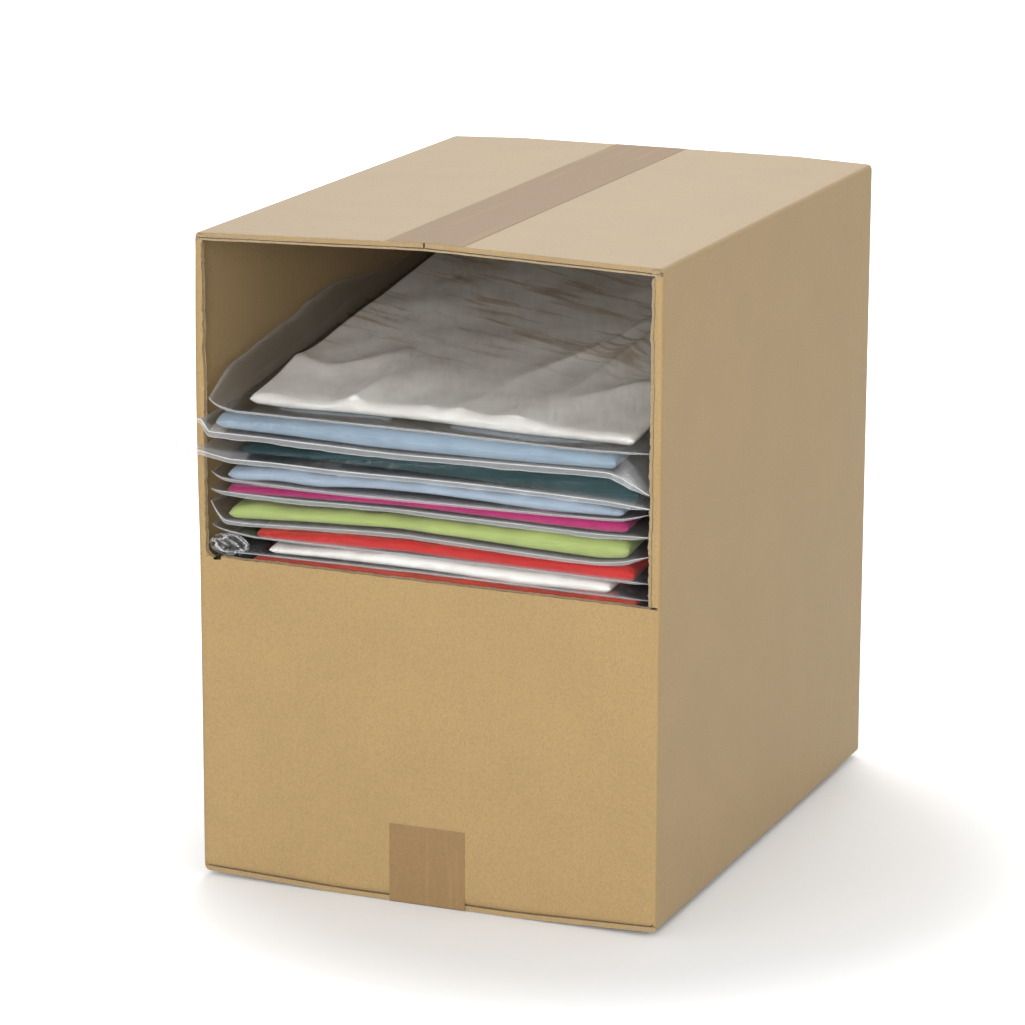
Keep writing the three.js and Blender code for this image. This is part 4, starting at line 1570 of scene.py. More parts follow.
@dataclass
class Stack:
    """The packs that show in the window, from the top down."""

    box: BoxFrame
    wardrobe: Wardrobe
    rise: float = 55.0
    hidden_share: float = 0.4
    film_gap: float = 0.7
    film_thickness: float = 0.07
    film_over: float = 0.5
    film_under: float = 0.3
    cloth_grid: tuple[int, int] = (108, 92)
    film_grid: tuple[int, int] = (94, 40)
    margin_columns: int = 12
    seam_rows: int = 30
    roll_steps: int = 10
    garment_inset: float = 20.0
    mouth_inset: float = 10.0
    plain_veil: float = 0.001
    # The welds, the bead and the flange's edges are milky: partly real weld, partly painted highlight lines
    # along the front weld.
    weld_milk_and_highlight: float = 0.15
    slack_veil: float = 0.002
    # Painted light: film that sticks out of the box's front is made milky, as if lit.
    painted_light_outside: float = 0.10
    bead_milk_and_highlights: Pair = (0.35, 0.6)
    flange_rows: tuple[float, ...] = (0.0, 0.12, 0.5, 0.88, 1.0)
    flange_milk_and_highlights: tuple[float, ...] = (0.4, 0.17, 0.13, 0.16, 0.45)
    flange_thickness: float = 0.08
    levels: tuple = (
        (304.4, 300.4), (295.9, 291.9), (281.4, 278.9), (267.4, 261.4), (253.9, 253.4),
        (242.4, 244.9), (227.4, 229.4), (217.4, 218.4), (209.9, 208.9), (199.4, 198.4),
    )

    def level(self, index: int, x: np.ndarray, y: np.ndarray) -> np.ndarray:
        """Return the height between two packs over points of the floor.

        Args:
            index: Which level, 0 on top.
            x: Across the box.
            y: Along the box.

        Returns:
            The heights over the floor.
        """
        left, right = self.levels[index]
        across = np.clip(self.box.across(x), 0.0, 1.0)
        rise = self.rise * lerp(1.0, self.hidden_share, index / 9.0)
        return lerp(left, right, across) + rise * self.box.backward(y)

    def build(self, forms: Sequence[PackForm]) -> None:
        """Build each pack and put it in place of its solids.

        Args:
            forms: The forms of the packs.
        """
        for form in forms:
            garment = self._garment(form)
            bag = self._bag(form)
            self.wardrobe.wear(garment, form.slot, self.wardrobe.cloths[form.slot])
            self.wardrobe.wear(bag, Slot.FILM, self.wardrobe.film)
            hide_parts(f"{form.name}_garment")
            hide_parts(f"{form.name}_bag")
            LOG.info("%s: %d and %d faces", form.name, len(garment.data.polygons), len(bag.data.polygons))

    def _eased(self, border: float) -> np.ndarray:
        """Return stations over a rounded border, crowded at its rim."""
        return border * (1.0 - np.cos(np.linspace(0.0, math.pi / 2.0, self.roll_steps)))

    def _crowded(self, count: int, low: float, high: float, border: float) -> np.ndarray:
        """Return stations between two ends, crowded over a border at each end.

        Args:
            count: How many stations there are between the borders, with their ends.
            low: The first station.
            high: The last station.
            border: How wide each border is.

        Returns:
            The stations, from low to high.
        """
        eased = self._eased(border)
        middle = np.linspace(low + border, high - border, count)[1:-1]
        return np.concatenate([low + eased, middle, (high - eased)[::-1]])

    def _flanks(self, form: PackForm, x: np.ndarray, y: np.ndarray) -> tuple[np.ndarray, np.ndarray]:
        """Return the garment's upper and lower face, before its edges round off.

        Args:
            form: The pack's form.
            x: The points' x.
            y: The points' y.

        Returns:
            The upper and the lower heights.
        """
        front = self.box.front + form.setback
        inward = smoothstep((y - front) / 80.0)
        at_front = np.full_like(y, front)
        slope_top = self.level(form.level, x, y) - self.level(form.level, x, at_front)
        slope_low = self.level(form.level + 1, x, y) - self.level(form.level + 1, x, at_front)
        plane_top = self.level(form.level, x, y) - self.film_gap
        plane_low = self.level(form.level + 1, x, y) + self.film_gap
        top = lerp(along(form.fold_top, x) + slope_top, plane_top, inward)
        low = lerp(along(form.fold_bottom, x) + slope_low, plane_low, inward)
        return top, np.minimum(low, top - 0.8)

    def _creases(self, form: PackForm, x: np.ndarray, y: np.ndarray) -> np.ndarray:
        """Return the cloth's soft creases, which run back from the front fold.

        Args:
            form: The pack's form.
            x: The points' x.
            y: The points' y.

        Returns:
            The creases' depths.
        """
        size = form.crease_size
        turned = x - 0.22 * y
        across = 0.2 * x + y
        soft = Waves.rough(turned / size, across / (2.8 * size), form.seed)
        folds = np.clip(Waves.ridges(turned / (1.5 * size), across / (4.5 * size), form.seed + 4.0), 0.0, 1.0)
        fine = Waves.rough(x / (0.33 * size), y / (0.5 * size), form.seed + 6.0, 2)
        return form.crease_depth * (0.8 * soft + 1.3 * folds**4 + 0.22 * fine - 0.4)

    def _roundness(self, form: PackForm, x: np.ndarray, y: np.ndarray) -> np.ndarray:
        """Return how full the garment is: 1 inside its outline, 0 at its edge and beyond.

        Args:
            form: The pack's form.
            x: The points' x.
            y: The points' y.

        Returns:
            The fullness, 0 to 1.
        """
        front, back = self.box.front + form.setback, self.box.back - self.garment_inset
        side = np.clip(np.minimum(x - form.ends[0], form.ends[1] - x) / form.roll, 0.0, 1.0)
        end = np.clip(np.minimum(y - front, back - y) / form.roll, 0.0, 1.0)
        return np.sqrt(1.0 - (1.0 - side) ** 2) * np.sqrt(1.0 - (1.0 - end) ** 2)

    def _cloth(self, form: PackForm, x: np.ndarray, y: np.ndarray) -> tuple[np.ndarray, ...]:
        """Return the garment's rounded upper and lower face and how full it is there.

        Args:
            form: The pack's form.
            x: The points' x.
            y: The points' y.

        Returns:
            The upper heights, the lower heights and the fullness.
        """
        top, low = self._flanks(form, x, y)
        full = self._roundness(form, x, y)
        middle, half = (top + low) / 2.0, (top - low) / 2.0
        crease = self._creases(form, x, y) * full
        return middle + half * full + crease, middle - half * full, full

    def _garment(self, form: PackForm) -> bpy.types.Object:
        """Build a folded garment as a rounded, creased pillow of cloth.

        Args:
            form: The pack's form.

        Returns:
            The piece.
        """
        front, back = self.box.front + form.setback, self.box.back - self.garment_inset
        xs = self._crowded(self.cloth_grid[0], form.ends[0], form.ends[1], form.roll)
        eased = self._eased(form.roll)
        shares = np.linspace(0.0, 1.0, self.cloth_grid[1])[1:-1] ** 1.4
        middle = front + form.roll + (back - front - 2 * form.roll) * shares
        ys = np.concatenate([front + eased, middle, (back - eased)[::-1]])
        x, y = np.meshgrid(xs, ys)
        top, low, _ = self._cloth(form, x, y)
        sway = 0.9 * Waves.rough(x / 38.0, np.full_like(x, 0.5), form.seed + 2.0)
        fade = np.clip(1.0 - (y - front) / 40.0, 0.0, 1.0)
        swayed = y + (sway + 0.9) * fade
        top = np.maximum(top, low + 0.05)
        points, faces = MeshKit.closed_slab(np.stack([x, swayed, top], -1), np.stack([x, swayed, low], -1))
        piece = MeshKit.place(f"{form.name}_cloth", MeshKit.make(f"{form.name}_cloth", points, faces))
        MeshKit.smooth(piece, 80.0)
        return piece

    def _bag_grid(self, form: PackForm) -> tuple[np.ndarray, ...]:
        """Return the bag's points across and along, the run from its front seam and the way to its side.

        Args:
            form: The pack's form.

        Returns:
            The four, each with one value for a point.
        """
        left, right = form.ends
        bag_left, bag_right = form.bag_sides
        edge_left = np.linspace(bag_left, left, self.margin_columns)[:-1]
        edge_right = np.linspace(right, bag_right, self.margin_columns)[1:]
        xs = np.concatenate([edge_left, self._crowded(self.film_grid[0], left, right, form.roll), edge_right])
        near = np.concatenate([np.linspace(0.0, 26.0, self.seam_rows), [29.0, 33.0, 38.0, 45.0]])
        runs = np.concatenate([near, np.linspace(54.0, 2.0 * self.box.half_depth - 12.0, self.film_grid[1])])
        x, run = np.meshgrid(xs, runs)
        share = (x - bag_left) / (bag_right - bag_left)
        start = self.box.front + lerp(form.bag_front[0], form.bag_front[1], share)
        start = start + 0.5 * Waves.rough(x / 30.0, np.zeros_like(x), form.seed + 1.0)
        tip_round = np.clip(1.0 - (x - bag_left) / 9.0, 0.0, 1.0) ** 2
        start = start + (3.0 + 0.05 * form.tip) * tip_round
        y = start + run * (self.box.back - self.mouth_inset - start) / runs[-1]
        outside = smoothstep((self.box.front - 0.4 - y) / 7.0)
        leftward = np.clip((left - x) / (left - bag_left), 0.0, 1.0)
        side = np.minimum(x - bag_left, bag_right - x)
        flared = x - form.tip * outside * leftward
        return flared, y, run, side

    def _bag(self, form: PackForm) -> bpy.types.Object:
        """Build a bag as a sock of film round its garment, with a welded front seam and its flange.

        Args:
            form: The pack's form.

        Returns:
            The piece.
        """
        x, y, run, side = self._bag_grid(form)
        cloth_top, cloth_low, inside = self._cloth(form, x, y)
        at_front = np.full_like(y, self.box.front)
        slope = self.level(form.level, x, y) - self.level(form.level, x, at_front)
        rest = along(form.seam, x) + slope + self._side_lift(form, x, y)
        depth = np.maximum(self.box.front + form.setback + form.roll - y[0], 4.0)[None, :]
        over = np.sin(np.clip(run / depth, 0.0, 1.0) * math.pi / 2.0)
        margin = np.where(x < 0.0, form.ends[0] - form.bag_sides[0], form.bag_sides[1] - form.ends[1]) + 4.0
        out = np.sin(np.clip(side / np.maximum(margin, 1.0), 0.0, 1.0) * math.pi / 2.0) ** 1.3
        top, low = self._flanks(form, x, y)
        lift = self._wrinkles(form, x, y) * over
        top_z = lerp(rest, np.maximum(top, cloth_top) + self.film_over, over * out) + lift
        top_z = np.where(inside > 0.0, np.maximum(top_z, cloth_top + self.film_over), top_z)
        low_z = np.minimum(lerp(rest, low - self.film_under, over * out), top_z - 0.03)
        low_z = np.where(inside > 0.0, np.minimum(low_z, cloth_low - self.film_under), low_z)
        welded = (run == 0.0) | (side <= 0.001)
        low_z = np.where(welded, top_z, low_z)
        # Milky near the welds: partly real weld, partly a painted highlight line.
        weld = np.exp(-run / 0.5) + 0.5 * np.exp(-side / 0.6)
        # Painted light: milkier where the film sticks out of the box's front.
        beyond = smoothstep((self.box.front - 0.4 - y) / 6.0) * (x < form.ends[0] + 8.0)
        veil = self.plain_veil + self.weld_milk_and_highlight * weld + self.slack_veil * (1.0 - over * out)
        veil = veil + self.painted_light_outside * beyond
        veil = veil + form.margin_veils[0] * np.clip((form.ends[0] - x) / 4.0, 0.0, 1.0)
        veil = veil + form.margin_veils[1] * np.clip((x - form.ends[1]) / 4.0, 0.0, 1.0)
        # Painted reflection: brown streaks of the carton's reflection, growing towards the back and darkening
        # it there.
        painted_reflection = form.painted_reflection * smoothstep((y - self.box.front - form.setback - 30.0) / 120.0) * (x > form.ends[0])
        mesh = self._sock(form, np.stack([x, y, top_z], -1), np.stack([x, y, low_z], -1), welded, veil, painted_reflection)
        piece = MeshKit.place(f"{form.name}_film", mesh)
        shell = piece.modifiers.new("film", "SOLIDIFY")
        shell.thickness = self.film_thickness * MM
        shell.offset = -1.0
        MeshKit.settle(piece)
        self._add_seam(piece, form, np.stack([x[0], y[0], top_z[0]], axis=-1))
        MeshKit.smooth(piece, 80.0)
        return piece

    def _side_lift(self, form: PackForm, x: np.ndarray, y: np.ndarray) -> np.ndarray:
        """Return how far the bag's margins stand up along the side walls.

        Args:
            form: The pack's form.
            x: The points' x.
            y: The points' y.

        Returns:
            The lifts.
        """
        left_share = np.clip((form.ends[0] - x) / (form.ends[0] - form.bag_sides[0]), 0.0, 1.0)
        right_share = np.clip((x - form.ends[1]) / (form.bag_sides[1] - form.ends[1]), 0.0, 1.0)
        fade = np.exp(-np.maximum(y - self.box.front, 0.0) / 90.0)
        left_lift, right_lift = form.side_lifts
        lift = (left_lift * left_share**1.2 + right_lift * right_share**1.2) * fade
        if form.left_wall is not None:
            slope = self.level(form.level, x, y) - self.level(form.level, x, np.full_like(y, self.box.front))
            wall = along(form.left_wall, y) - along(form.seam, x) - slope
            lift = lift + wall * left_share**1.5
        return lift

    def _sock(
        self,
        form: PackForm,
        top: np.ndarray,
        low: np.ndarray,
        welded: np.ndarray,
        veil: np.ndarray,
        painted_reflection: np.ndarray,
    ) -> bpy.types.Mesh:
        """Return the bag's two faces, joined along its welds.

        Args:
            form: The pack.
            top: The upper face's points, shaped (rows, columns, 3).
            low: The lower face's points, in the same order.
            welded: Where the faces are one.
            veil: How milky the film is at each point.
            painted_reflection: How strong the painted brown reflection of the carton is at each point.

        Returns:
            The mesh.
        """
        rows, columns, _ = top.shape
        free = np.flatnonzero(~welded.ravel())
        low_number = np.arange(rows * columns)
        low_number[free] = rows * columns + np.arange(len(free))
        faces = MeshKit.grid_faces(rows, columns)
        low_faces = MeshKit.grid_faces(rows, columns, flipped=True)
        faces += [tuple(int(low_number[index]) for index in face) for face in low_faces]
        points = np.concatenate([top.reshape(-1, 3), low.reshape(-1, 3)[free]])
        mesh = MeshKit.make(f"{form.name}_film", points, faces)
        MeshKit.write_attribute(mesh, "veil", np.concatenate([veil.ravel(), veil.ravel()[free]]))
        MeshKit.write_attribute(mesh, "painted_reflection", np.concatenate([painted_reflection.ravel(), np.zeros(len(free))]))
        return mesh

    def _wrinkles(self, form: PackForm, x: np.ndarray, y: np.ndarray) -> np.ndarray:
        """Return how far the upper film lifts off its garment in wrinkles.

        Args:
            form: The pack's form.
            x: The points' x.
            y: The points' y.

        Returns:
            The lifts.
        """
        turned = 0.45 * x + y
        long_folds = Waves.ridges(turned / 34.0, (x - 0.5 * y) / 150.0, form.seed + 11.0)
        cross_folds = Waves.ridges((x + 0.7 * y) / 40.0, (y - 0.4 * x) / 170.0, form.seed + 17.0)
        small = Waves.ridges(turned / 12.0, x / 60.0, form.seed + 23.0)
        parts = (np.clip(part, 0.0, 1.0) ** 2 for part in (long_folds, cross_folds, small))
        long_part, cross_part, small_part = parts
        return form.wrinkle * (long_part + 0.7 * cross_part + 0.3 * small_part)

    def _add_seam(self, piece: bpy.types.Object, form: PackForm, path: np.ndarray) -> None:
        """Join the front weld's bead and the flange of film beyond it to a bag.

        Args:
            piece: The bag.
            form: Its pack.
            path: The weld's points, from left to right.
        """
        xs = path[:, 0]
        ends = np.minimum(xs - xs[0], xs[-1] - xs)
        taper = np.clip(0.15 + ends / 14.0, 0.0, 1.0)
        wander = Waves.rough(xs / 26.0, np.zeros_like(xs), form.seed + 7.0)
        fine = Waves.rough(xs / 7.0, np.zeros_like(xs), form.seed + 8.0)
        drop = form.flange * taper * (0.95 + 0.25 * wander + 0.08 * fine)
        forward = 0.5 + 0.5 * Waves.rough(xs / 31.0, np.ones_like(xs), form.seed + 9.0)
        zero = np.zeros_like(xs)
        rows = [
            path + np.stack([zero, -forward * share - 0.25, -drop * share + 0.1], axis=-1)
            for share in self.flange_rows
        ]
        front = np.stack(rows)
        behind = front + np.array([0.0, self.flange_thickness, 0.0])
        flange_points, flange_faces = MeshKit.closed_slab(front, behind)
        flange_row_milk_and_highlight = np.repeat(self.flange_milk_and_highlights, len(xs))
        bead_points, bead_faces = MeshKit.tube(path, form.bead)
        points, faces = MeshKit.joined([(bead_points, bead_faces), (flange_points, flange_faces)])
        mesh = MeshKit.make("seam", points, faces)
        # The bead's milk, patchy along it, is partly real weld and partly a painted highlight line.
        patches = 0.5 + 0.5 * Waves.rough(xs / 9.0, zero, form.seed + 12.0)
        bead_milk_and_highlight = np.repeat(self.bead_milk_and_highlights[0] + self.bead_milk_and_highlights[1] * patches, 6)
        MeshKit.write_attribute(mesh, "veil", np.concatenate([bead_milk_and_highlight, flange_row_milk_and_highlight, flange_row_milk_and_highlight]))
        MeshKit.face_out(mesh)
        seam = MeshKit.place("seam", mesh)
        with bpy.context.temp_override(active_object=piece, selected_editable_objects=[piece, seam]):
            bpy.ops.object.join()


@dataclass
class LowerPacks:
    """The packs behind the front panel, which show only from inside the box."""

    wardrobe: Wardrobe
    count: int = 8
    voxel: float = 5.0
    slack: float = 0.9
    veil: float = 0.05

    def build(self) -> None:
        """Build each pack and put it in place of its solids."""
        for number in range(1, self.count + 1):
            name = f"lower_{number:02d}"
            garment = self._garment(name, float(number))
            bag = self._copy(f"{name}_bag", f"{name}_film")
            MeshKit.write_attribute(bag.data, "veil", np.full(len(bag.data.vertices), self.veil))
            self.wardrobe.wear(garment, Slot.GREY, self.wardrobe.cloths[Slot.GREY])
            self.wardrobe.wear(bag, Slot.FILM, self.wardrobe.film)
            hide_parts(f"{name}_garment")
            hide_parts(f"{name}_bag")
            LOG.info("%s: %d faces", name, len(garment.data.polygons))

    @staticmethod
    def _copy(node: str, name: str) -> bpy.types.Object:
        """Return a merged copy of a node's solid as a piece of its own.

        Args:
            node: The node's name.
            name: The copy's name.

        Returns:
            The copy.
        """
        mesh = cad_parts[node].data.copy()
        mesh.name = name
        MeshKit.weld(mesh)
        return MeshKit.place(name, mesh)

    def _garment(self, name: str, seed: float) -> bpy.types.Object:
        """Return a folded garment with round folds and a slack, uneven face.

        Args:
            name: The pack's name.
            seed: Picks the unevenness.

        Returns:
            The piece.
        """
        piece = self._copy(f"{name}_garment", f"{name}_cloth")
        remesh = piece.modifiers.new("round", "REMESH")
        remesh.mode = "VOXEL"
        remesh.voxel_size = self.voxel * MM
        relax = piece.modifiers.new("relax", "SMOOTH")
        relax.factor = 0.5
        relax.iterations = 4
        MeshKit.settle(piece)
        mesh = piece.data
        count = len(mesh.vertices)
        points, normals = np.zeros(count * 3), np.zeros(count * 3)
        mesh.vertices.foreach_get("co", points)
        mesh.vertices.foreach_get("normal", normals)
        points, normals = points.reshape(-1, 3), normals.reshape(-1, 3)
        x, y = points[:, 0] / MM, points[:, 1] / MM
        dips = 0.5 + 0.5 * Waves.rough(x / 36.0, y / 70.0, seed)
        points -= normals * (self.slack * MM * dips)[:, None]
        mesh.vertices.foreach_set("co", points.ravel())
        mesh.update()
        MeshKit.smooth(piece, 80.0)
        return piece


@dataclass
class CrumpledCorner:
    """The corner of a bag that is squashed into a ball at the window's lower left."""

    wardrobe: Wardrobe
    centre: Triple = (-133.5, -188.5, 212.5)
    radii: Triple = (13.5, 7.0, 7.0)
    turns: int = 64
    rings: int = 40

    def build(self) -> None:
        """Build the ball of film."""
        around = np.linspace(0.0, 2.0 * math.pi, self.turns + 1)[:-1]
        upward = np.linspace(0.0, math.pi, self.rings)[1:-1]
        angle, polar = np.meshgrid(around, upward)
        level = np.sin(polar)
        unit = np.stack([np.cos(angle) * level, np.sin(angle) * level, np.cos(polar)], axis=-1)
        sharp = np.abs(Waves.rough(unit[..., 0] * 2.3 + unit[..., 2] * 1.7, unit[..., 1] * 2.1, 44.0, 3))
        size = 1.0 - 0.4 * sharp
        body = np.array(self.centre) + unit * size[..., None] * np.array(self.radii)
        points = np.concatenate([body.reshape(-1, 3), [body[0].mean(axis=0)], [body[-1].mean(axis=0)]])
        rows, columns = body.shape[:2]
        faces = []
        for row in range(rows - 1):
            for column in range(columns):
                a, b = row * columns + column, row * columns + (column + 1) % columns
                faces.append((a, b, b + columns, a + columns))
        top, bottom = rows * columns, rows * columns + 1
        for column in range(columns):
            following = (column + 1) % columns
            faces.append((top, following, column))
            faces.append((bottom, (rows - 1) * columns + column, (rows - 1) * columns + following))
        mesh = MeshKit.make("crumpled_corner", points, faces)
        MeshKit.face_out(mesh)
        # Painted highlights: the ball's outer crests are made milky white as bright lines.
        painted_crest_highlight = np.concatenate([(0.02 + 0.75 * np.clip(1.0 - 9.0 * sharp, 0.0, 1.0)).ravel(), [0.1, 0.1]])
        MeshKit.write_attribute(mesh, "veil", painted_crest_highlight)
        piece = MeshKit.place("crumpled_corner", mesh)
        self.wardrobe.wear(piece, Slot.FILM, self.wardrobe.film)
        MeshKit.smooth(piece, 25.0)


@dataclass
class Tapes:
    """The two strips of packing tape over the carton's seams."""

    box: BoxFrame
    wardrobe: Wardrobe
    width: float = 50.0
    thickness: float = 0.12
    standoff: float = 0.06
    top_front_x: float = 0.2
    top_back_x: float = -5.0
    bottom_x: float = 1.5
    top_lap: float = 50.0
    bottom_lap: float = 47.0
    edge_radius: float = 1.0

    def build(self) -> None:
        """Build both tapes and put them in place of their solids."""
        for name, points in (("top_tape", self._top()), ("bottom_tape", self._bottom())):
            top, low = points
            body_points, faces = MeshKit.closed_slab(top, low)
            piece = MeshKit.place(f"{name}_strip", MeshKit.make(f"{name}_strip", body_points, faces))
            self.wardrobe.wear(piece, Slot.TAPE, self.wardrobe.tape)
            MeshKit.smooth(piece, 60.0)
            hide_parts(name)
            LOG.info("%s: %d faces", name, len(piece.data.polygons))

    def _crown(self, y: float) -> Level:
        """Return the top's height over x, at a y."""
        return lambda x: self.box.top_level + self.box.top_crown(x, np.full_like(x, y))

    def _underside(self, x: np.ndarray) -> np.ndarray:
        """Return the bottom's height over x."""
        return self.box.crease_level - self.box.bottom_drop(x)

    @staticmethod
    def _flat(height: float) -> Level:
        """Return one height for every x."""
        return lambda x: np.full_like(x, height)

    def _strip(self, path: list[tuple], centre: Callable[[float], float]) -> tuple[np.ndarray, np.ndarray]:
        """Return the outer and inner face of a strip along a path.

        Args:
            path: Stations (y, height at x, outward y, outward z).
            centre: The strip's middle at a y.

        Returns:
            The outer and the inner grid.
        """
        shares = np.linspace(-0.5, 0.5, 25)
        faces = []
        for lift in (self.standoff + self.thickness, self.standoff):
            rows = []
            for y, height, out_y, out_z in path:
                x = centre(y) + shares * self.width
                z = height(x) + out_z * lift
                rows.append(np.stack([x, np.full_like(x, y + out_y * lift), z], axis=-1))
            faces.append(np.array(rows))
        return faces[0], faces[1]

    def _edge(self, centre_y: float, level: Level, side: float, up: float, reverse: bool) -> list[tuple]:
        """Return the stations round one edge of the box.

        Args:
            centre_y: The y of the edge's middle line.
            level: The height over x of the face that the edge ends.
            side: 1 at the back, -1 at the front.
            up: 1 on top, -1 underneath.
            reverse: Whether the path comes to the edge from the wall.

        Returns:
            The stations, as for a strip's path.
        """
        stations = []
        radius = self.edge_radius
        for step in range(7):
            angle = (math.pi / 2.0) * ((6 - step) if reverse else step) / 6.0
            out_y, out_z = side * math.sin(angle), up * math.cos(angle)
            lift = radius * (out_z - up)
            stations.append((centre_y + radius * out_y, lambda x, r=lift: level(x) + r, out_y, out_z))
        return stations

    def _top(self) -> tuple[np.ndarray, np.ndarray]:
        """Return the faces of the tape over the top seam."""
        box = self.box
        stations = []
        edge_y = box.back - self.edge_radius
        for y in np.linspace(box.front + 1.0, edge_y, 60)[:-1]:
            stations.append((y, self._crown(y), 0.0, 1.0))
        stations += self._edge(edge_y, self._crown(edge_y), 1.0, 1.0, False)
        stations.append((box.back, self._flat(box.top_level - self.top_lap), 1.0, 0.0))
        ends = (self.top_front_x, self.top_back_x)
        outer, inner = self._strip(stations, lambda y: lerp(*ends, box.backward(y)))
        for face in (outer, inner):
            x = face[0, :, 0]
            face[0, :, 1] += 1.3 * Waves.rough(x / 3.0, np.zeros_like(x), 12.0) - 0.6
        return outer, inner

    def _bottom(self) -> tuple[np.ndarray, np.ndarray]:
        """Return the faces of the tape under the bottom seam."""
        box = self.box
        lap = self._flat(box.crease_level + self.bottom_lap)
        stations = [(box.front, lap, -1.0, 0.0)]
        stations += self._edge(box.front + self.edge_radius, self._underside, -1.0, -1.0, True)
        stations += self._edge(box.back - self.edge_radius, self._underside, 1.0, -1.0, False)
        stations.append((box.back, lap, 1.0, 0.0))
        return self._strip(stations, lambda y: self.bottom_x)


@dataclass
class Studio:
    """The floor, the lamps, the backdrop's white and the camera."""

    lens: float = 149.03
    azimuth: float = 22.33
    elevation: float = 14.22
    roll: float = 0.166
    position: Triple = (0.97996, -2.44445, 0.86898)
    floor_size: float = 30.0
    # Where the floor's painted shade round the box centres, how far it reaches, and its glow from near the
    # box to far away.
    shade_centre: Pair = (0.07, -0.06)
    shade_reach: Pair = (0.20, 0.44)
    floor_glow: Pair = (0.02, 0.85)
    paper: Triple = (0.765, 0.766, 0.765)
    fill: float = 0.7
    lamps: tuple = (
        ("key", (-1.5, -2.6, 3.0), (0.0, 0.0, 0.2), 1.0, 6.0),
        ("top", (-0.7, 2.1, 2.5), (0.0, 0.0, 0.3), 1.6, 44.5),
        ("side", (3.0, -0.2, 1.7), (0.0, 0.0, 0.2), 1.2, 21.0),
        ("front", (0.7, -3.05, 1.5), (0.0, 0.0, 0.28), 1.1, 34.0),
        ("low", (0.4, -3.2, 0.75), (0.0, 0.0, 0.34), 1.1, 46.0),
    )

    def build(self) -> None:
        """Set up everything that isn't the object."""
        self._floor()
        self._world()
        for lamp in self.lamps:
            self._lamp(*lamp)
        self._camera()

    def _floor(self) -> None:
        """Lay a white floor whose glow, seen only by the camera, fades towards the box: a painted shade round
        the box over its real shadow, and white away from it.
        """
        half = self.floor_size / 2.0
        mesh = bpy.data.meshes.new("floor")
        corners = [(-half, -half, 0.0), (half, -half, 0.0), (half, half, 0.0), (-half, half, 0.0)]
        mesh.from_pydata(corners, [], [(0, 1, 2, 3)])
        floor = MeshKit.place("studio_floor", mesh)
        graph = Graph("studio_paper")
        place = graph.node("ShaderNodeTexCoord").outputs["Object"]
        shift = (-self.shade_centre[0], -self.shade_centre[1], 0.0)
        moved = graph.node("ShaderNodeVectorMath", {0: place, 1: shift}, operation="ADD").outputs[0]
        away = graph.node("ShaderNodeVectorMath", {0: moved}, operation="LENGTH").outputs["Value"]
        # Painted shade: the glow fades out near the box, so the floor there is painted darker.
        ramp = graph.node(
            "ShaderNodeMapRange",
            {
                "Value": away,
                "From Min": self.shade_reach[0],
                "From Max": self.shade_reach[1],
                "To Min": self.floor_glow[0],
                "To Max": self.floor_glow[1],
            },
            interpolation_type="SMOOTHSTEP",
        ).outputs[0]
        seen = graph.node("ShaderNodeLightPath").outputs["Is Camera Ray"]
        graph.dress(
            Base_Color=rgba(*self.paper),
            Roughness=0.9,
            Specular_IOR_Level=0.0,
            Emission_Color=rgba(1.0, 1.0, 1.0),
            Emission_Strength=graph.math("MULTIPLY", ramp, seen),
        )
        mesh.materials.append(graph.material)

    def _world(self) -> None:
        """Light the scene softly all round, with white behind it."""
        world = bpy.data.worlds.new("studio")
        bpy.context.scene.world = world
        world.use_nodes = True
        nodes, links = world.node_tree.nodes, world.node_tree.links
        background = nodes["Background"]
        background.inputs["Color"].default_value = (1.0, 1.0, 1.0, 1.0)
        paths = nodes.new("ShaderNodeLightPath")
        seen = nodes.new("ShaderNodeMath")
        seen.operation = "MAXIMUM"
        links.new(paths.outputs["Is Camera Ray"], seen.inputs[0])
        links.new(paths.outputs["Is Transmission Ray"], seen.inputs[1])
        glossy = nodes.new("ShaderNodeMath")
        glossy.operation = "MAXIMUM"
        links.new(seen.outputs[0], glossy.inputs[0])
        links.new(paths.outputs["Is Glossy Ray"], glossy.inputs[1])
        strength = nodes.new("ShaderNodeMapRange")
        strength.inputs["To Min"].default_value = self.fill
        strength.inputs["To Max"].default_value = 1.0
        links.new(glossy.outputs[0], strength.inputs["Value"])
        links.new(strength.outputs[0], background.inputs["Strength"])

    def _lamp(self, name: str, at: Triple, toward: Triple, size: float, power: float) -> None:
        """Hang a square soft lamp that looks at a point.

        Args:
            name: The lamp's name.
            at: Where it hangs.
            toward: The point that it looks at.
            size: How wide it is.
            power: Its power in watts.
        """
        light = bpy.data.lights.new(name, "AREA")
        light.size = size
        light.energy = power
        lamp = bpy.data.objects.new(name, light)
        lamp.location = at
        lamp.rotation_euler = (Vector(toward) - Vector(at)).to_track_quat("-Z", "Y").to_euler()
        bpy.context.scene.collection.objects.link(lamp)

    def _camera(self) -> None:
        """Put the camera where it sees the box as the photograph does."""
        azimuth, elevation, roll = (math.radians(a) for a in (self.azimuth, self.elevation, self.roll))
        back = Vector((
            math.sin(azimuth) * math.cos(elevation),
            -math.cos(azimuth) * math.cos(elevation),
            math.sin(elevation),
        ))
        level_right = (-back).cross(Vector((0.0, 0.0, 1.0))).normalized()
        level_up = level_right.cross(-back)
        right = math.cos(roll) * level_right + math.sin(roll) * level_up
        up = -math.sin(roll) * level_right + math.cos(roll) * level_up
        data = bpy.data.cameras.new("camera")
        data.lens = self.lens
        data.sensor_width = 36.0
        camera = bpy.data.objects.new("camera", data)
        turned = Matrix((right, up, back)).transposed().to_4x4()
        camera.matrix_world = Matrix.Translation(self.position) @ turned
        bpy.context.scene.collection.objects.link(camera)
        bpy.context.scene.camera = camera
        bpy.context.scene.view_settings.view_transform = "Standard"


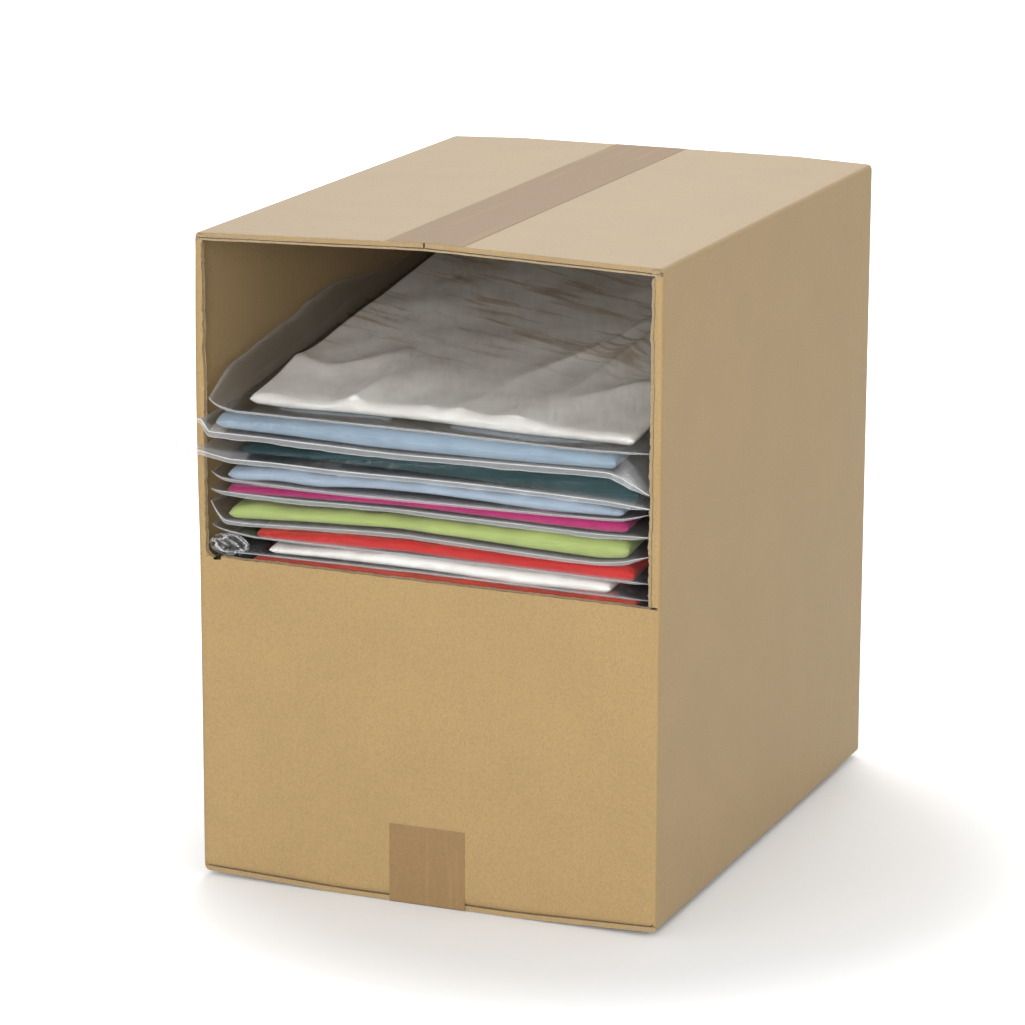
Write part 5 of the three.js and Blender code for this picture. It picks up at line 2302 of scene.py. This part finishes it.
PACKS = (
    PackForm(
        "white", Slot.WHITE, 0, (-124.0, 126.0), 19.0,
        fold_top=((-125, 306.0), (0, 305.5), (126, 302.5)),
        fold_bottom=((-131, 298.5), (-98, 296.9), (-64, 297.8), (-10, 297.4), (54, 295.0), (116, 294.5)),
        seam=((-150, 299.0), (-100, 298.0), (0, 296.5), (100, 294.0), (145, 295.0)),
        bag_front=(0.5, 5.0), flange=1.0, bead=0.15, crease_depth=3.4, crease_size=48.0,
        wrinkle=1.6, seed=3.0, painted_reflection=1.0, margin_veils=(0.03, 0.02),
        left_wall=(
            (-198, 299.0), (-192, 304.0), (-176, 316.0), (-140, 322.0),
            (-20, 341.0), (70, 336.0), (190, 346.0),
        ),
    ),
    PackForm(
        "light_blue", Slot.LIGHT_BLUE, 1, (-139.0, 121.0), 2.5,
        fold_top=((-138, 294.0), (-60, 295.5), (0, 295.0), (121, 292.5)),
        fold_bottom=((-140, 285.6), (-104, 284.6), (-38, 282.4), (58, 282.4), (121, 283.6)),
        seam=(
            (-151, 287.4), (-100, 286.4), (-69, 285.2), (-15, 283.2), (100, 283.4), (122, 283.2),
            (130, 281.5), (137, 273.0), (145, 268.0),
        ),
        bag_front=(-8.0, 1.0), tip=18.0, flange=3.4, side_lifts=(6.5, 0.0), margin_veils=(0.04, 0.08),
        seed=5.0,
    ),
    PackForm(
        "teal", Slot.TEAL, 2, (-122.0, 135.0), 3.5,
        fold_top=((-120, 276.5), (-20, 278.0), (107, 279.0), (135, 277.4)),
        fold_bottom=((-120, 271.6), (-20, 269.7), (65, 267.3), (135, 262.5)),
        seam=(
            (-156, 272.2), (-100, 272.4), (-49, 270.4), (29, 269.7),
            (69, 268.1), (122, 265.9), (144, 262.7),
        ),
        bag_front=(-11.0, 1.0), tip=21.0, flange=2.6, side_lifts=(4.0, 0.0), margin_veils=(0.04, 0.03),
        seed=7.0,
    ),
    PackForm(
        "pale_blue", Slot.PALE_BLUE, 3, (-134.0, 124.0), 8.0,
        fold_top=((-134, 259.0), (-122, 262.4), (-90, 262.6), (-20, 263.4), (74, 263.0), (124, 260.6)),
        fold_bottom=(
            (-134, 252.6), (-122, 251.9), (-101, 254.6), (-79, 252.4),
            (-45, 255.4), (0, 255.9), (74, 252.8), (124, 254.0),
        ),
        seam=((-146, 256.5), (-134, 254.5), (-60, 253.0), (60, 253.6), (124, 254.5), (143, 257.0)),
        bag_front=(3.0, 2.5), side_lifts=(2.0, 3.0), flange=1.3, bead=0.15, crease_depth=1.5,
        crease_size=20.0, seed=9.0,
    ),
    PackForm(
        "magenta", Slot.MAGENTA, 4, (-134.0, 127.0), 7.0,
        fold_top=((-134, 250.4), (-101, 251.8), (-21, 254.0), (46, 253.5), (127, 252.5)),
        fold_bottom=((-134, 244.2), (-79, 245.4), (-21, 247.0), (46, 245.6), (112, 244.0), (127, 245.0)),
        seam=((-146, 247.4), (-92, 246.2), (-17, 247.3), (50, 246.0), (110, 244.6), (143, 246.0)),
        bag_front=(2.0, 2.0), flange=2.4, bead=0.2, seed=11.0,
    ),
    PackForm(
        "lime", Slot.LIME, 5, (-133.0, 128.0), 6.5,
        fold_top=((-133, 235.0), (-126, 238.6), (-55, 240.4), (46, 241.0), (128, 240.4)),
        fold_bottom=(
            (-133, 228.4), (-75, 231.0), (-21, 233.0), (46, 230.0),
            (96, 228.0), (118, 227.6), (128, 231.0),
        ),
        seam=(
            (-146, 231.0), (-127, 228.0), (-75, 230.2), (-21, 232.2),
            (46, 229.4), (116, 227.2), (130, 231.0), (143, 233.0),
        ),
        bag_front=(2.0, 1.5), side_lifts=(10.0, 2.0), flange=1.8, bead=0.2, crease_depth=0.9, seed=13.0,
    ),
    PackForm(
        "red", Slot.RED, 6, (-115.0, 131.0), 8.0,
        fold_top=((-115, 224.0), (-55, 227.0), (46, 226.0), (131, 225.0)),
        fold_bottom=((-115, 217.4), (-66, 217.0), (-21, 218.5), (46, 216.1), (131, 214.6)),
        seam=((-146, 223.0), (-118, 220.0), (0, 219.4), (143, 217.5)),
        bag_front=(3.5, 3.0), side_lifts=(2.0, 0.0), flange=0.9, bead=0.12, crease_depth=0.9, seed=15.0,
    ),
    PackForm(
        "slim_white", Slot.WHITE, 7, (-107.0, 116.0), 8.0,
        fold_top=((-107, 214.4), (-21, 217.4), (46, 215.6), (116, 214.0)),
        fold_bottom=((-107, 208.6), (-66, 209.2), (0, 208.6), (57, 206.0), (116, 206.8)),
        seam=((-146, 209.0), (0, 209.0), (143, 207.0)),
        bag_front=(4.0, 4.0), flange=0.5, bead=0.1, seed=17.0,
    ),
    PackForm(
        "orange", Slot.ORANGE, 8, (-118.0, 133.0), 6.5,
        fold_top=((-118, 207.4), (-20, 208.2), (60, 206.2), (133, 206.8)),
        fold_bottom=((-118, 199.8), (133, 199.4)),
        seam=((-146, 203.4), (143, 202.6)),
        bag_front=(4.2, 4.2), flange=0.4, bead=0.1, crease_depth=1.2, crease_size=16.0, seed=19.0,
    ),
)


def main() -> None:
    """Build the studio and every piece of the box."""
    logging.basicConfig(level=logging.INFO, format="%(message)s")
    Studio().build()
    box = BoxFrame()
    wardrobe = Wardrobe()
    Carton(box, wardrobe).build()
    Tapes(box, wardrobe).build()
    Stack(box, wardrobe).build(PACKS)
    CrumpledCorner(wardrobe).build()
    LowerPacks(wardrobe).build()


if __name__ == "__main__":
    main()
